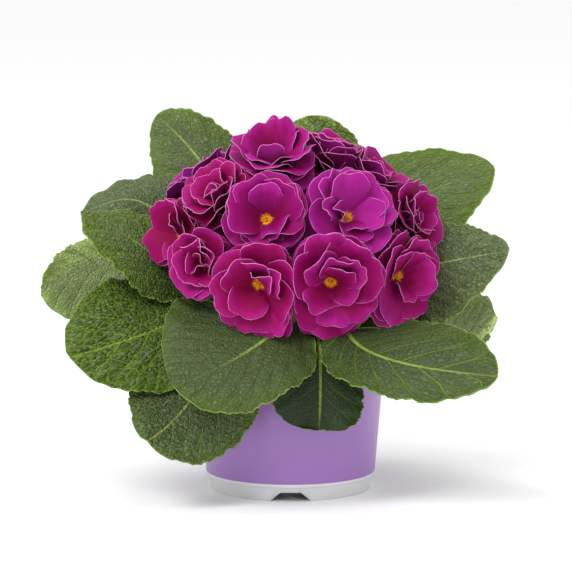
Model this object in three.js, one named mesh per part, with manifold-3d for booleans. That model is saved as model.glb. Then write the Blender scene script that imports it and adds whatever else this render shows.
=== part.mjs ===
// A double primrose in a small grower's pot: a thin plastic pot on a notched foot, soil, a crown that
// carries the flower stalks, a rosette of blistered leaves and a dome of double blooms.
// Millimetres, +Z up. The pot stands on z = 0.
import * as THREE from 'three';
import { mergeVertices } from 'three/addons/utils/BufferGeometryUtils.js';
import Module from 'manifold-3d';

const wasm = await Module();
wasm.setup();

// ---- Driving dimensions ----
const POT_HEIGHT = 80;
const POT_WALL = 1.2;
const RIM_RADIUS = 51;
const RIM_BAND = 6.4;
const RIM_BEVEL = 0.6;
const BODY_FOOT_RADIUS = 43.2;
const FOOT_RADIUS = 41.1;
const FOOT_HEIGHT = 6;
const FOOT_CHAMFER = 2.6;
const FLOOR_UNDERSIDE = 5;
const WALL_TAPER = Math.tan(THREE.MathUtils.degToRad(4.9));
const POT_SIDES = 40;

const NOTCH_COUNT = 3;
const NOTCH_TOP_WIDTH = 10.5;
const NOTCH_FOOT_WIDTH = 20.6;
const NOTCH_HEIGHT = 4.4;
const DRAIN_COUNT = 6;
const DRAIN_RADIUS = 3;
const DRAIN_CIRCLE = 27;

const GAP = 0.3;
const SOIL_TOP = 72;
const SOIL_EDGE_DROP = 3;
const SOIL_SIDES = 28;
const CROWN_HOLE_RADIUS = 12;
const CROWN_HOLE_FLOOR = 52;
const CROWN_RADIUS = 14.5;
const CROWN_TOP = 89;

const LEAF_THICKNESS = 0.8;
const PETIOLE_HALF_WIDTH = 2.2;
const PETIOLE_DEPTH = 2.6;
const SIDE_VEINS = 5;
const VEIN_SWEEP = 0.6;
const ROOT_GAP = 0.6;

const PETAL_THICKNESS = 0.7;
const THROAT_RADIUS = 3.2;
const THROAT_DEPTH = 3;
const CALYX_LENGTH = 8;
const STALK_RADIUS = 1.1;
const STALK_SIDES = 4;
const STALK_STEPS = 3;
const STALK_CIRCLE = 7;

// The blooms make a dome round this point, each in its own wedge of it.
const DOME_HEART = new THREE.Vector3(0, 0, 106);
// The leaves reach further to the left than to the right, so the pot's axis stands off the origin.
const POT_AXIS_X = 8.3;
const POT_AXIS_Y = -1.8;

// ---- The plant's layout, from the pot's axis ----
// Each leaf's midrib leaves the crown at an azimuth and a height, passes through two points and ends at
// its tip. Roll turns the blade about its midrib, and bend droops (+) or lifts (-) its two sides.
const LEAVES = [
  { name: 'leaf_front_left', azimuth: -104, height: 79,
    path: [[-3.8, -46.6, 90.9], [-18.1, -63.8, 82.3], [-57.3, -79, 64.7]],
    halves: [32, 57], roll: [-4, -48], bend: 20, wave: 2, blade: 0.33 },
  { name: 'leaf_front_right', azimuth: -52, height: 79,
    path: [[27.6, -49.6, 88.2], [39.4, -66.6, 80.2], [100.5, -100, 73.7]],
    halves: [36, 22], roll: [-19, 56], bend: 22, wave: 2, blade: 0.34 },
  { name: 'leaf_front_low', azimuth: -78, height: 75,
    path: [[13, -48, 88.5], [14.8, -61.9, 61.6], [14.1, -65, 40.8]],
    halves: [22, 26], roll: [2, -5], bend: 30, wave: 1, blade: 0.36 },
  { name: 'leaf_left_hanging', azimuth: -130, height: 75,
    path: [[-29.7, -43, 86.9], [-44.1, -49.6, 62.9], [-70.9, -74.2, 36.9]],
    halves: [35, 35], roll: [-5, -43], bend: 20, wave: 2, blade: 0.33 },
  { name: 'leaf_left_low', azimuth: -154, height: 78,
    path: [[-40.1, -21.8, 93.3], [-58.7, -27.3, 89.2], [-109.6, -57.9, 76]],
    halves: [38, 42], roll: [31, -58], bend: 8, wave: 2, blade: 0.28 },
  { name: 'leaf_far_left', azimuth: 176, height: 76,
    path: [[-52.3, 8, 94], [-83.1, 32, 107.5], [-127.1, -2.9, 103]],
    halves: [36, 17], roll: [-70, -70], bend: 10, wave: 2, blade: 0.48 },
  { name: 'leaf_left', azimuth: 178, height: 81,
    path: [[-47.8, -1.9, 99.8], [-68.3, -3, 118.8], [-105.2, 6.1, 140.1]],
    halves: [26, 27], roll: [-63, -15], bend: 8, wave: 1.5, blade: 0.35 },
  { name: 'leaf_left_high', azimuth: 158, height: 82,
    path: [[-50.2, 18, 107], [-69.9, 28.9, 138.7], [-108.3, 37.7, 135.3]],
    halves: [20, 31], roll: [-70, -13], bend: 8, wave: 1.5, blade: 0.47 },
  { name: 'leaf_back_left', azimuth: 121, height: 82,
    path: [[-25.9, 54, 103], [-36, 69.8, 138.9], [-70.7, 87.9, 181.9]],
    halves: [29, 23], roll: [-38, -70], bend: 8, wave: 2, blade: 0.43 },
  { name: 'leaf_back', azimuth: 78, height: 82,
    path: [[14.7, 66.2, 99.7], [14.9, 91.7, 132.4], [14.3, 100.2, 180.7]],
    halves: [30, 31], roll: [-37, 13], bend: 8, wave: 2, blade: 0.39 },
  { name: 'leaf_back_right', azimuth: 50, height: 84,
    path: [[34.8, 54, 108.9], [48.8, 72.5, 129], [107.4, 82, 155.7]],
    halves: [36, 38], roll: [69, 40], bend: 10, wave: 2, blade: 0.29 },
  { name: 'leaf_right', azimuth: 7, height: 81,
    path: [[43.2, 5.2, 101.7], [68.2, 2.9, 113], [110.6, -7.3, 122.5]],
    halves: [26, 36], roll: [56, 40], bend: 8, wave: 2, blade: 0.35 },
  { name: 'leaf_right_low', azimuth: -10, height: 76,
    path: [[41.8, -5, 90.5], [69.1, 4, 77.5], [103.9, -12.2, 90.7]],
    halves: [30, 12], roll: [45, 63], bend: 12, wave: 1.5, blade: 0.5 },
  { name: 'leaf_back_low_left', azimuth: 150, height: 75,
    path: [[-41.7, 30, 89.2], [-71.5, 52, 59], [-99.5, 71.1, 73]],
    halves: [26, 26], roll: [-5, -5], bend: 15, wave: 2, blade: 0.34 },
  { name: 'leaf_back_upright', azimuth: 102, height: 84.5,
    path: [[-15.1, 63, 96.2], [-28.2, 84.7, 117.3], [-35.4, 96, 146.8]],
    halves: [23, 23], roll: [0, -9], bend: 8, wave: 2, blade: 0.36 },
  { name: 'leaf_back_low', azimuth: 92, height: 74.5,
    path: [[-2, 47, 83.5], [-7, 74, 80], [-10, 96, 66]],
    halves: [28, 28], roll: [0, 0], bend: 15, wave: 2, blade: 0.34 },
  { name: 'leaf_back_low_right', azimuth: 54, height: 75,
    path: [[28, 37.2, 82], [49.9, 64.1, 81.1], [65.9, 88, 68.7]],
    halves: [26, 26], roll: [1, 0], bend: 15, wave: 2, blade: 0.34 },
  { name: 'leaf_right_back', azimuth: 22, height: 77,
    path: [[44.7, 19.4, 89.7], [74, 30, 76], [94, 41, 84]],
    halves: [22, 23], roll: [10, 22], bend: 15, wave: 1.5, blade: 0.37 },
];

// Each bloom: where its throat is, the way it faces, its radius, how far it has opened (0 to 1) and the
// turn of its petals about its own axis.
const BLOOMS = [
  { at: [-9, -6, 167], face: [-0.08, -0.42, 0.9], radius: 29, open: 0.35, turn: 20 },
  { at: [18, 8, 163], face: [0.4, 0, 0.92], radius: 23, open: 0.15, turn: 50 },
  { at: [39, 12, 155], face: [0.6, -0.1, 0.8], radius: 26, open: 0.6, turn: 10 },
  { at: [58, 2, 137], face: [0.8, -0.45, 0.4], radius: 25, open: 0.4, turn: 35 },
  { at: [28, -34, 143], face: [0.35, -0.8, 0.5], radius: 30, open: 0.8, turn: 0 },
  { at: [-12, -40, 143], face: [-0.1, -0.9, 0.45], radius: 28, open: 0.8, turn: 0 },
  { at: [-34, -20, 149], face: [-0.55, -0.5, 0.66], radius: 26, open: 0.5, turn: 40 },
  { at: [-42, 14, 154], face: [-0.6, 0.1, 0.8], radius: 28, open: 0.5, turn: 15 },
  { at: [-54, -15, 132], face: [-0.78, -0.6, 0.2], radius: 24, open: 0.7, turn: 60 },
  { at: [-43, -38, 121], face: [-0.45, -0.87, 0.12], radius: 20, open: 0.3, turn: 25 },
  { at: [-16, -58, 113.2], face: [-0.25, -0.95, -0.12], radius: 27, open: 0.8, turn: 30 },
  { at: [20, -56, 114.2], face: [0.2, -0.97, -0.05], radius: 30, open: 0.9, turn: 0 },
  { at: [54, -27, 112.7], face: [0.75, -0.65, -0.05], radius: 27, open: 0.7, turn: 20 },
  { at: [-18, 34, 153], face: [-0.3, 0.6, 0.75], radius: 30, open: 0.7, turn: 5 },
  { at: [22, 33, 151], face: [0.35, 0.55, 0.75], radius: 30, open: 0.6, turn: 45 },
  { at: [41, 34, 120], face: [0.65, 0.7, 0.3], radius: 22, open: 0.8, turn: 30 },
  { at: [-39, 37, 118], face: [-0.55, 0.8, 0.2], radius: 21, open: 0.7, turn: 50 },
  { at: [0, 45, 114], face: [0, 0.98, 0.15], radius: 26, open: 0.8, turn: 10 },
];

// ---- Shared geometry ----
const { degToRad, lerp } = THREE.MathUtils;
const UP = new THREE.Vector3(0, 0, 1);

// A number from 0 to 1 that is fixed for each pair of whole numbers.
function scatter(first, second) {
  const mixed = Math.sin(first * 12.9898 + second * 78.233) * 43758.5453;
  return mixed - Math.floor(mixed);
}

function toSolid(geometry) {
  const bare = geometry.clone();
  bare.deleteAttribute('normal');
  bare.deleteAttribute('uv');
  const merged = mergeVertices(bare, 1e-4);
  const mesh = new wasm.Mesh({
    numProp: 3,
    vertProperties: new Float32Array(merged.attributes.position.array),
    triVerts: new Uint32Array(merged.index.array),
  });
  return new wasm.Manifold(mesh);
}

function toGeometry(solid) {
  const mesh = solid.getMesh();
  const geometry = new THREE.BufferGeometry();
  geometry.setAttribute('position', new THREE.BufferAttribute(mesh.vertProperties, 3));
  geometry.setIndex(new THREE.BufferAttribute(mesh.triVerts, 1));
  return geometry;
}

function joinAll(geometries) {
  return geometries.map(toSolid).reduce((whole, piece) => whole.add(piece));
}

// A round body about Z, from its profile of [radius, height] points.
function turned(profile, sides) {
  const points = profile.map(([radius, height]) => new THREE.Vector2(radius, height));
  return new THREE.LatheGeometry(points, sides).rotateX(Math.PI / 2);
}

// The triangles between two rows of points, each row in order of its places across.
function stitch(low, high) {
  const triangles = [];
  let i = 0;
  let j = 0;
  while (i < low.length - 1 || j < high.length - 1) {
    const lowNext = i < low.length - 1 ? low[i + 1].across : Infinity;
    const highNext = j < high.length - 1 ? high[j + 1].across : Infinity;
    if (lowNext <= highNext) {
      triangles.push([[0, i], [0, i + 1], [1, j]]);
      i += 1;
    } else {
      triangles.push([[0, i], [1, j + 1], [1, j]]);
      j += 1;
    }
  }
  return triangles;
}

// A thin closed blade from rows of spots, each with its place across, a top and a bottom point. Both
// faces are split into triangles alike.
function blade(rows) {
  const points = [];
  const faces = [];
  const place = (point) => {
    points.push(point.x, point.y, point.z);
    return points.length / 3 - 1;
  };
  const tops = rows.map((row) => row.map((spot) => place(spot.top)));
  const bottoms = rows.map((row) => row.map((spot) => place(spot.bottom)));
  for (let k = 0; k + 1 < rows.length; k += 1) {
    for (const [a, b, c] of stitch(rows[k], rows[k + 1])) {
      faces.push(tops[k + a[0]][a[1]], tops[k + b[0]][b[1]], tops[k + c[0]][c[1]]);
      faces.push(bottoms[k + a[0]][a[1]], bottoms[k + c[0]][c[1]], bottoms[k + b[0]][b[1]]);
    }
  }
  const last = rows.length - 1;
  const rim = rows[0].map((_, i) => [0, i]);
  rows.slice(1).forEach((row, k) => rim.push([k + 1, row.length - 1]));
  for (let i = rows[last].length - 2; i >= 0; i -= 1) rim.push([last, i]);
  for (let k = last - 1; k > 0; k -= 1) rim.push([k, 0]);
  rim.forEach(([k, i], step) => {
    const [nextK, nextI] = rim[(step + 1) % rim.length];
    faces.push(bottoms[k][i], bottoms[nextK][nextI], tops[nextK][nextI]);
    faces.push(bottoms[k][i], tops[nextK][nextI], tops[k][i]);
  });
  const geometry = new THREE.BufferGeometry();
  geometry.setAttribute('position', new THREE.Float32BufferAttribute(points, 3));
  geometry.setIndex(faces);
  return geometry;
}

// The unit normal of a surface given by a function of two places, from small steps along both.
function surfaceNormal(surface, first, second) {
  const step = 1e-3;
  const across = surface(first + step, second).sub(surface(first - step, second));
  const along = surface(first, second + step).sub(surface(first, second - step));
  return across.cross(along).normalize();
}

// ---- Pot ----
function potWallRadius(height) {
  return BODY_FOOT_RADIUS + (height - FOOT_HEIGHT - FOOT_CHAMFER) * WALL_TAPER;
}

function potProfile() {
  const bodyFoot = FOOT_HEIGHT + FOOT_CHAMFER;
  const floorTop = FLOOR_UNDERSIDE + POT_WALL;
  const bandFoot = POT_HEIGHT - RIM_BAND;
  const rimInside = RIM_RADIUS - POT_WALL;
  return [
    [0, FLOOR_UNDERSIDE],
    [FOOT_RADIUS - POT_WALL, FLOOR_UNDERSIDE],
    [FOOT_RADIUS - POT_WALL, 0],
    [FOOT_RADIUS, 0],
    [FOOT_RADIUS + 0.5, FOOT_HEIGHT],
    [BODY_FOOT_RADIUS, bodyFoot],
    [potWallRadius(bandFoot - RIM_BEVEL), bandFoot - RIM_BEVEL],
    [RIM_RADIUS - 0.4, bandFoot],
    [RIM_RADIUS, POT_HEIGHT - RIM_BEVEL],
    [RIM_RADIUS - RIM_BEVEL, POT_HEIGHT],
    [rimInside, POT_HEIGHT],
    [rimInside - 0.4, bandFoot + RIM_BEVEL],
    [potWallRadius(bandFoot) - POT_WALL, bandFoot - 1],
    [BODY_FOOT_RADIUS - POT_WALL, bodyFoot + 0.4],
    [FOOT_RADIUS - RIM_BEVEL, floorTop],
    [0, floorTop],
  ];
}

function footNotch() {
  const outline = new THREE.Shape();
  outline.moveTo(-NOTCH_FOOT_WIDTH / 2, -1);
  outline.lineTo(NOTCH_FOOT_WIDTH / 2, -1);
  outline.lineTo(NOTCH_FOOT_WIDTH / 2, 0);
  outline.lineTo(NOTCH_TOP_WIDTH / 2, NOTCH_HEIGHT);
  outline.lineTo(-NOTCH_TOP_WIDTH / 2, NOTCH_HEIGHT);
  outline.lineTo(-NOTCH_FOOT_WIDTH / 2, 0);
  const depth = 20;
  const notch = new THREE.ExtrudeGeometry(outline, { depth, bevelEnabled: false });
  return notch.rotateX(Math.PI / 2).translate(0, -FOOT_RADIUS + depth / 2, 0);
}

function pot() {
  let body = toSolid(turned(potProfile(), POT_SIDES));
  for (let i = 0; i < NOTCH_COUNT; i += 1) {
    body = body.subtract(toSolid(footNotch().rotateZ((i * 2 * Math.PI) / NOTCH_COUNT)));
  }
  for (let i = 0; i < DRAIN_COUNT; i += 1) {
    const angle = ((i + 0.5) * 2 * Math.PI) / DRAIN_COUNT;
    const drain = new THREE.CylinderGeometry(DRAIN_RADIUS, DRAIN_RADIUS, 10, 10).rotateX(Math.PI / 2);
    drain.translate(DRAIN_CIRCLE * Math.cos(angle), DRAIN_CIRCLE * Math.sin(angle), FLOOR_UNDERSIDE);
    body = body.subtract(toSolid(drain));
  }
  return toGeometry(body);
}

// ---- Soil, with a plain hole for the crown ----
function soil() {
  const floor = FLOOR_UNDERSIDE + POT_WALL + GAP;
  const bodyFoot = FOOT_HEIGHT + FOOT_CHAMFER;
  const edge = SOIL_TOP - SOIL_EDGE_DROP;
  const clear = POT_WALL + GAP + 0.2;
  return turned([
    [0, floor],
    [FOOT_RADIUS - RIM_BEVEL - 2 * GAP, floor],
    [BODY_FOOT_RADIUS - clear - 0.2, bodyFoot + 1],
    [potWallRadius(edge) - clear, edge],
    [(CROWN_HOLE_RADIUS + RIM_RADIUS) / 2, SOIL_TOP - 0.8],
    [CROWN_HOLE_RADIUS, SOIL_TOP],
    [CROWN_HOLE_RADIUS, CROWN_HOLE_FLOOR],
    [0, CROWN_HOLE_FLOOR],
  ], SOIL_SIDES);
}

// ---- Crown and flower stalks, fused ----
function crown() {
  return turned([
    [0, CROWN_HOLE_FLOOR + GAP],
    [CROWN_HOLE_RADIUS * 0.6, CROWN_HOLE_FLOOR + GAP],
    [CROWN_HOLE_RADIUS - GAP, CROWN_HOLE_FLOOR + 6],
    [CROWN_HOLE_RADIUS - GAP, SOIL_TOP + GAP],
    [CROWN_RADIUS, SOIL_TOP + 1],
    [CROWN_RADIUS, CROWN_TOP - 4],
    [CROWN_RADIUS * 0.75, CROWN_TOP - 1],
    [0, CROWN_TOP],
  ], 12);
}

// Turns a shape that stands on its own origin along +Z to stand at a point and face a direction.
function facing(at, face) {
  const turn = new THREE.Quaternion().setFromUnitVectors(UP, face);
  return new THREE.Matrix4().compose(at, turn, new THREE.Vector3(1, 1, 1));
}

function bloomPlace(bloom) {
  const at = new THREE.Vector3(...bloom.at);
  const face = new THREE.Vector3(...bloom.face).normalize();
  return { at, face, matrix: facing(at, face) };
}

function stalk(bloom) {
  const { at, face } = bloomPlace(bloom);
  const azimuth = Math.atan2(at.y, at.x);
  const foot = new THREE.Vector3(Math.cos(azimuth), Math.sin(azimuth), 0).multiplyScalar(STALK_CIRCLE);
  foot.z = CROWN_TOP - 6;
  const end = at.clone().addScaledVector(face, -THROAT_DEPTH - GAP - CALYX_LENGTH / 2);
  const lean = end.clone().addScaledVector(face, -end.distanceTo(foot) * 0.35);
  const rise = foot.clone().lerp(end, 0.3).add(new THREE.Vector3(0, 0, 4));
  const path = new THREE.CubicBezierCurve3(foot, rise, lean, end);
  const section = new THREE.Shape();
  for (let i = 0; i < STALK_SIDES; i += 1) {
    const angle = (i * 2 * Math.PI) / STALK_SIDES;
    const corner = [STALK_RADIUS * Math.cos(angle), STALK_RADIUS * Math.sin(angle)];
    if (i === 0) section.moveTo(...corner);
    else section.lineTo(...corner);
  }
  const stem = new THREE.ExtrudeGeometry(section, { steps: STALK_STEPS, extrudePath: path, bevelEnabled: false });
  const calyx = new THREE.CylinderGeometry(THROAT_RADIUS, STALK_RADIUS, CALYX_LENGTH, 5).rotateX(Math.PI / 2);
  calyx.translate(0, 0, -THROAT_DEPTH - GAP - CALYX_LENGTH / 2).applyMatrix4(facing(at, face));
  return [stem, calyx];
}

function crownWithStalks() {
  return toGeometry(joinAll([crown(), ...BLOOMS.flatMap(stalk)]));
}

// ---- Leaves ----
// The cubic through four points at a third of its length each.
function curveThrough(start, first, second, end) {
  const mix = (...parts) => parts.reduce((sum, [point, share]) => sum.addScaledVector(point, share / 6),
    new THREE.Vector3());
  const leave = mix([start, -5], [first, 18], [second, -9], [end, 2]);
  const arrive = mix([start, 2], [first, -9], [second, 18], [end, -5]);
  return new THREE.CubicBezierCurve3(start, leave, arrive, end);
}

function midrib(leaf) {
  const reach = CROWN_RADIUS + ROOT_GAP;
  const azimuth = degToRad(leaf.azimuth);
  const root = new THREE.Vector3(reach * Math.cos(azimuth), reach * Math.sin(azimuth), leaf.height);
  const [first, second, tip] = leaf.path.map((point) => new THREE.Vector3(...point));
  return curveThrough(root, first, second, tip);
}

// Directions at a place along the midrib: to the blade's right-hand side, and up from its face.
function leafDirections(leaf, curve, along) {
  const tangent = curve.getTangent(along);
  const level = new THREE.Vector3().crossVectors(tangent, UP).normalize();
  const side = level.applyAxisAngle(tangent, degToRad(lerp(leaf.roll[0], leaf.roll[1], along)));
  const up = new THREE.Vector3().crossVectors(side, tangent);
  return { side, up };
}

// Half the width of an egg-shaped blade at a place along it, broadest beyond its middle.
function bladeHalfWidth(leaf, side, along) {
  const rise = 0.55;
  const fall = 0.48;
  const broadest = rise / (rise + fall);
  const shape = (along / broadest) ** rise * ((1 - along) / (1 - broadest)) ** fall;
  return leaf.halves[side] * shape + PETIOLE_HALF_WIDTH * (1 - along) ** 6;
}

// A point of the blade's middle surface. Rows follow the side veins, which sweep forward to the margin.
function leafPoint(leaf, curve, across, row) {
  const margin = row + VEIN_SWEEP * row * (1 - row);
  const along = row + (margin - row) * Math.abs(across) ** 1.2;
  const place = leaf.blade + (1 - leaf.blade) * along;
  const { side, up } = leafDirections(leaf, curve, place);
  const tooth = Math.abs(across) > 0.9 ? 1 + 0.03 * Math.cos(2 * Math.PI * SIDE_VEINS * row) : 1;
  const width = bladeHalfWidth(leaf, across < 0 ? 0 : 1, margin) * across * tooth;
  const curl = degToRad(leaf.bend) / Math.max(...leaf.halves);
  const out = Math.sin(width * curl) / curl;
  const drop = (1 - Math.cos(width * curl)) / curl;
  const wave = leaf.wave * across ** 2 * Math.sin(4 * Math.PI * margin + 2 * across + leaf.azimuth);
  const blister = 1.3 * Math.sin(Math.PI * SIDE_VEINS * row) ** 2 * Math.sin(Math.PI * Math.abs(across));
  return curve.getPoint(place).addScaledVector(side, out).addScaledVector(up, wave + blister - drop);
}

function leafGeometry(leaf) {
  const curve = midrib(leaf);
  const columns = [-1, -0.5, 0, 0.5, 1];
  const rows = [0, 0.35, 0.7].map((share) => columns.map((across) => {
    const place = leaf.blade * share;
    const { side, up } = leafDirections(leaf, curve, place);
    const middle = curve.getPoint(place).addScaledVector(side, across * PETIOLE_HALF_WIDTH);
    const channel = -0.5 * (1 - across ** 2);
    const keel = -PETIOLE_DEPTH * Math.sqrt(1 - 0.8 * across ** 2) * lerp(1, 0.75, share);
    return { across, top: middle.clone().addScaledVector(up, channel), bottom: middle.addScaledVector(up, keel) };
  }));
  for (let i = 0; i < 2 * SIDE_VEINS; i += 1) {
    const row = i / (2 * SIDE_VEINS);
    rows.push(columns.map((across) => {
      const surface = (first, second) => leafPoint(leaf, curve, first, second);
      const near = Math.max(row, 0.02);
      const normal = surfaceNormal(surface, across * 0.98, near);
      const middle = surface(across, row);
      const rib = across === 0 ? 1.6 * (1 - row) : 0;
      return {
        across,
        top: middle.clone().addScaledVector(normal, LEAF_THICKNESS / 2),
        bottom: middle.addScaledVector(normal, -LEAF_THICKNESS / 2 - rib),
      };
    }));
  }
  const tip = curve.getPoint(1);
  const { up } = leafDirections(leaf, curve, 1);
  rows.push([{
    across: 0,
    top: tip.clone().addScaledVector(up, LEAF_THICKNESS / 2),
    bottom: tip.clone().addScaledVector(up, -LEAF_THICKNESS / 2),
  }]);
  return blade(rows);
}

// ---- Blooms ----
// The petals of one bloom: an outer whorl that spreads, and an inner one that stands up and cups.
function petalsOf(bloom, index) {
  const petals = [];
  const whorls = [
    { count: 5, length: 1.08, spread: 36, start: 42, end: lerp(74, 100, bloom.open), foot: 1.6, ruffle: 1.4 },
    { count: 3, length: 0.84, spread: 50, start: 14, end: lerp(26, 62, bloom.open), foot: 1.2, ruffle: 1 },
  ];
  whorls.forEach((whorl, tier) => {
    for (let i = 0; i < whorl.count; i += 1) {
      const chance = (salt) => scatter(index + 1, 10 * tier + i + 0.37 * salt) - 0.5;
      petals.push({
        turn: degToRad(bloom.turn + tier * 36 + (360 * (i + 0.04 * chance(1))) / whorl.count),
        length: bloom.radius * whorl.length * (1 + 0.12 * chance(2)),
        spread: degToRad(whorl.spread),
        start: degToRad(whorl.start),
        end: degToRad(whorl.end + 10 * chance(4)),
        foot: whorl.foot,
        ruffle: whorl.ruffle,
        phase: 6 * chance(5),
      });
    }
  });
  return petals;
}

// A point of a petal in its bloom's frame: it leaves the throat, arches outward and has a notched,
// ruffled rim. Places across run from -1 to 1, places along from 0 to 1.
function petalPoint(petal, across, along) {
  const rim = 1 - 0.26 * Math.abs(across) ** 2.5 - 0.07 * Math.exp(-((across / 0.2) ** 2));
  const reach = along * rim;
  const lean = lerp(petal.start, petal.end, reach);
  const arch = petal.end - petal.start;
  const out = petal.foot + (petal.length * (Math.cos(petal.start) - Math.cos(lean))) / arch;
  const height = (petal.length * (Math.sin(lean) - Math.sin(petal.start))) / arch - 1.5;
  const flare = lerp(0.5, 1, Math.sin((Math.PI / 2) * Math.min(1, reach / 0.6)));
  const angle = petal.turn - across * petal.spread * flare;
  const ruffle = petal.ruffle * along ** 3 * Math.sin(5 * across + petal.phase);
  const cup = 0.06 * petal.length * across ** 2 * along;
  const overlap = 0.9 * across * Math.min(1, 2 * along);
  const lift = ruffle + cup + overlap;
  const radius = out - lift * Math.cos(lean);
  return new THREE.Vector3(radius * Math.cos(angle), radius * Math.sin(angle), height + lift * Math.sin(lean));
}

// Keeps a point of one bloom inside that bloom's wedge of the dome: the nearer it comes to the wall it
// shares with a neighbour, the more it is held back, and what is held back stands up instead.
function keepInWedge(point, own, others) {
  const softness = 6;
  const axis = own.at.clone().sub(DOME_HEART).normalize();
  const offset = point.clone().sub(DOME_HEART);
  const depth = Math.max(offset.dot(axis), 1);
  const lateral = offset.clone().addScaledVector(axis, -offset.dot(axis));
  let crowding = 1;
  for (const other of others) {
    const otherAxis = other.at.clone().sub(DOME_HEART).normalize();
    const between = axis.angleTo(otherAxis);
    const wall = (between * own.radius) / (own.radius + other.radius);
    const towards = otherAxis.addScaledVector(axis, -otherAxis.dot(axis)).normalize();
    const room = depth * Math.tan(wall) - GAP / Math.cos(wall);
    const share = wall < 1.4 ? lateral.dot(towards) / room : 0;
    if (share > 0) crowding += share ** softness;
  }
  const held = crowding ** (-1 / softness);
  const lift = 0.5 * lateral.length() * (1 - held);
  return point.addScaledVector(lateral, held - 1).addScaledVector(axis, lift);
}

function petalGeometry(petal, place) {
  const layout = [[0, 2], [0.5, 3], [1, 6]];
  const surface = (across, along) => petalPoint(petal, across, along);
  return blade(layout.map(([along, count]) => Array.from({ length: count }, (_, i) => {
    const across = -1 + (2 * i) / (count - 1);
    const normal = surfaceNormal(surface, across, Math.max(along, 0.05));
    const middle = surface(across, along);
    const top = place(middle.clone().addScaledVector(normal, PETAL_THICKNESS / 2));
    const bottom = place(middle.addScaledVector(normal, -PETAL_THICKNESS / 2));
    return { across, top, bottom };
  })));
}

function bloomGeometry(bloom, index) {
  const { at, matrix } = bloomPlace(bloom);
  const own = { at, radius: bloom.radius };
  const others = BLOOMS.filter((other) => other !== bloom)
    .map((other) => ({ at: new THREE.Vector3(...other.at), radius: other.radius }));
  const place = (point) => keepInWedge(point.applyMatrix4(matrix), own, others);
  const throat = new THREE.CylinderGeometry(THROAT_RADIUS, THROAT_RADIUS * 0.9, THROAT_DEPTH + 1, 6);
  throat.rotateX(Math.PI / 2).translate(0, 0, (1 - THROAT_DEPTH) / 2).applyMatrix4(matrix);
  const petals = petalsOf(bloom, index).map((petal) => petalGeometry(petal, place));
  return toGeometry(joinAll([throat, ...petals]));
}

// ---- The whole plant in its pot ----
const plant = new THREE.Group();
plant.position.set(POT_AXIS_X, POT_AXIS_Y, 0);

function addPiece(name, geometry, color, roughness) {
  const material = new THREE.MeshStandardMaterial({ color, roughness, metalness: 0 });
  const mesh = new THREE.Mesh(geometry, material);
  mesh.name = name;
  plant.add(mesh);
}

addPiece('pot', pot(), 0x946bb0, 0.45);
addPiece('soil', soil(), 0x2e2018, 0.95);
addPiece('crown_and_stalks', crownWithStalks(), 0x7f9a4a, 0.6);
LEAVES.forEach((leaf) => addPiece(leaf.name, leafGeometry(leaf), 0x55733c, 0.6));
BLOOMS.forEach((bloom, index) => {
  const number = String(index + 1).padStart(2, '0');
  addPiece(`bloom_${number}`, bloomGeometry(bloom, index), 0xa51e7d, 0.6);
});

export default plant;
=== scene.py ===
import math

import bpy
import numpy as np
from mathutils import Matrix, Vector


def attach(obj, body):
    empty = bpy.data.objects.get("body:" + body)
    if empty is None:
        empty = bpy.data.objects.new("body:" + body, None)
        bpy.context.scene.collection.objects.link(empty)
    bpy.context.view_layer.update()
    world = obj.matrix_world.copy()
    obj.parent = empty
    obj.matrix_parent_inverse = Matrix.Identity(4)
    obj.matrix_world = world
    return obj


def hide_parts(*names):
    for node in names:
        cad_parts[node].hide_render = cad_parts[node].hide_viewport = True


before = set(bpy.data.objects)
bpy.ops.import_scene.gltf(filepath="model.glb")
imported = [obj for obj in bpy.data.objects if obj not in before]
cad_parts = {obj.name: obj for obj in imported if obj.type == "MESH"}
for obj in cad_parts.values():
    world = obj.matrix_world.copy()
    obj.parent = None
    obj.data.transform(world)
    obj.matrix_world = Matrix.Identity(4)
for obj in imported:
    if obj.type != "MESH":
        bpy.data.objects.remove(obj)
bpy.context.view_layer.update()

# A double primrose in a small grower's pot. Shapes are worked out in millimetres from the pot's axis and
# turned to metres when a mesh is made.
MM = 0.001
POT_AXIS = np.array([8.3, -1.8, 0.0])

# ---- Pot ----
POT_HEIGHT = 80
POT_WALL = 1.2
RIM_RADIUS = 51
RIM_BAND = 6.4
BODY_FOOT_RADIUS = 43.2
FOOT_RADIUS = 41.1
FOOT_HEIGHT = 6
FOOT_CHAMFER = 2.6
FLOOR_UNDERSIDE = 5
WALL_TAPER = math.tan(math.radians(4.9))
NOTCH_COUNT = 3
NOTCH_TOP_WIDTH = 10.5
NOTCH_FOOT_WIDTH = 20.6
NOTCH_HEIGHT = 4.4
DRAIN_COUNT = 6
DRAIN_RADIUS = 3
DRAIN_CIRCLE = 27
PRINT_FOOT = FOOT_HEIGHT + FOOT_CHAMFER + 0.3
PRINT_TOP = POT_HEIGHT - RIM_BAND - 1
PRINT_BLUR = 0.15

# ---- Soil, crown and stalks ----
SOIL_TOP = 72
SOIL_EDGE_DROP = 3
SOIL_RISE_RADIUS = 26
CROWN_HOLE_RADIUS = 12
CROWN_HOLE_FLOOR = 52
CROWN_RADIUS = 14.5
CROWN_TOP = 89
ROOT_GAP = 0.6
GAP = 0.3
STALK_RADIUS = 1.1
STALK_CIRCLE = 7
STALK_POINTS = 24
CALYX_LENGTH = 8
THROAT_RADIUS = 3.2
THROAT_DEPTH = 3

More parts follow.
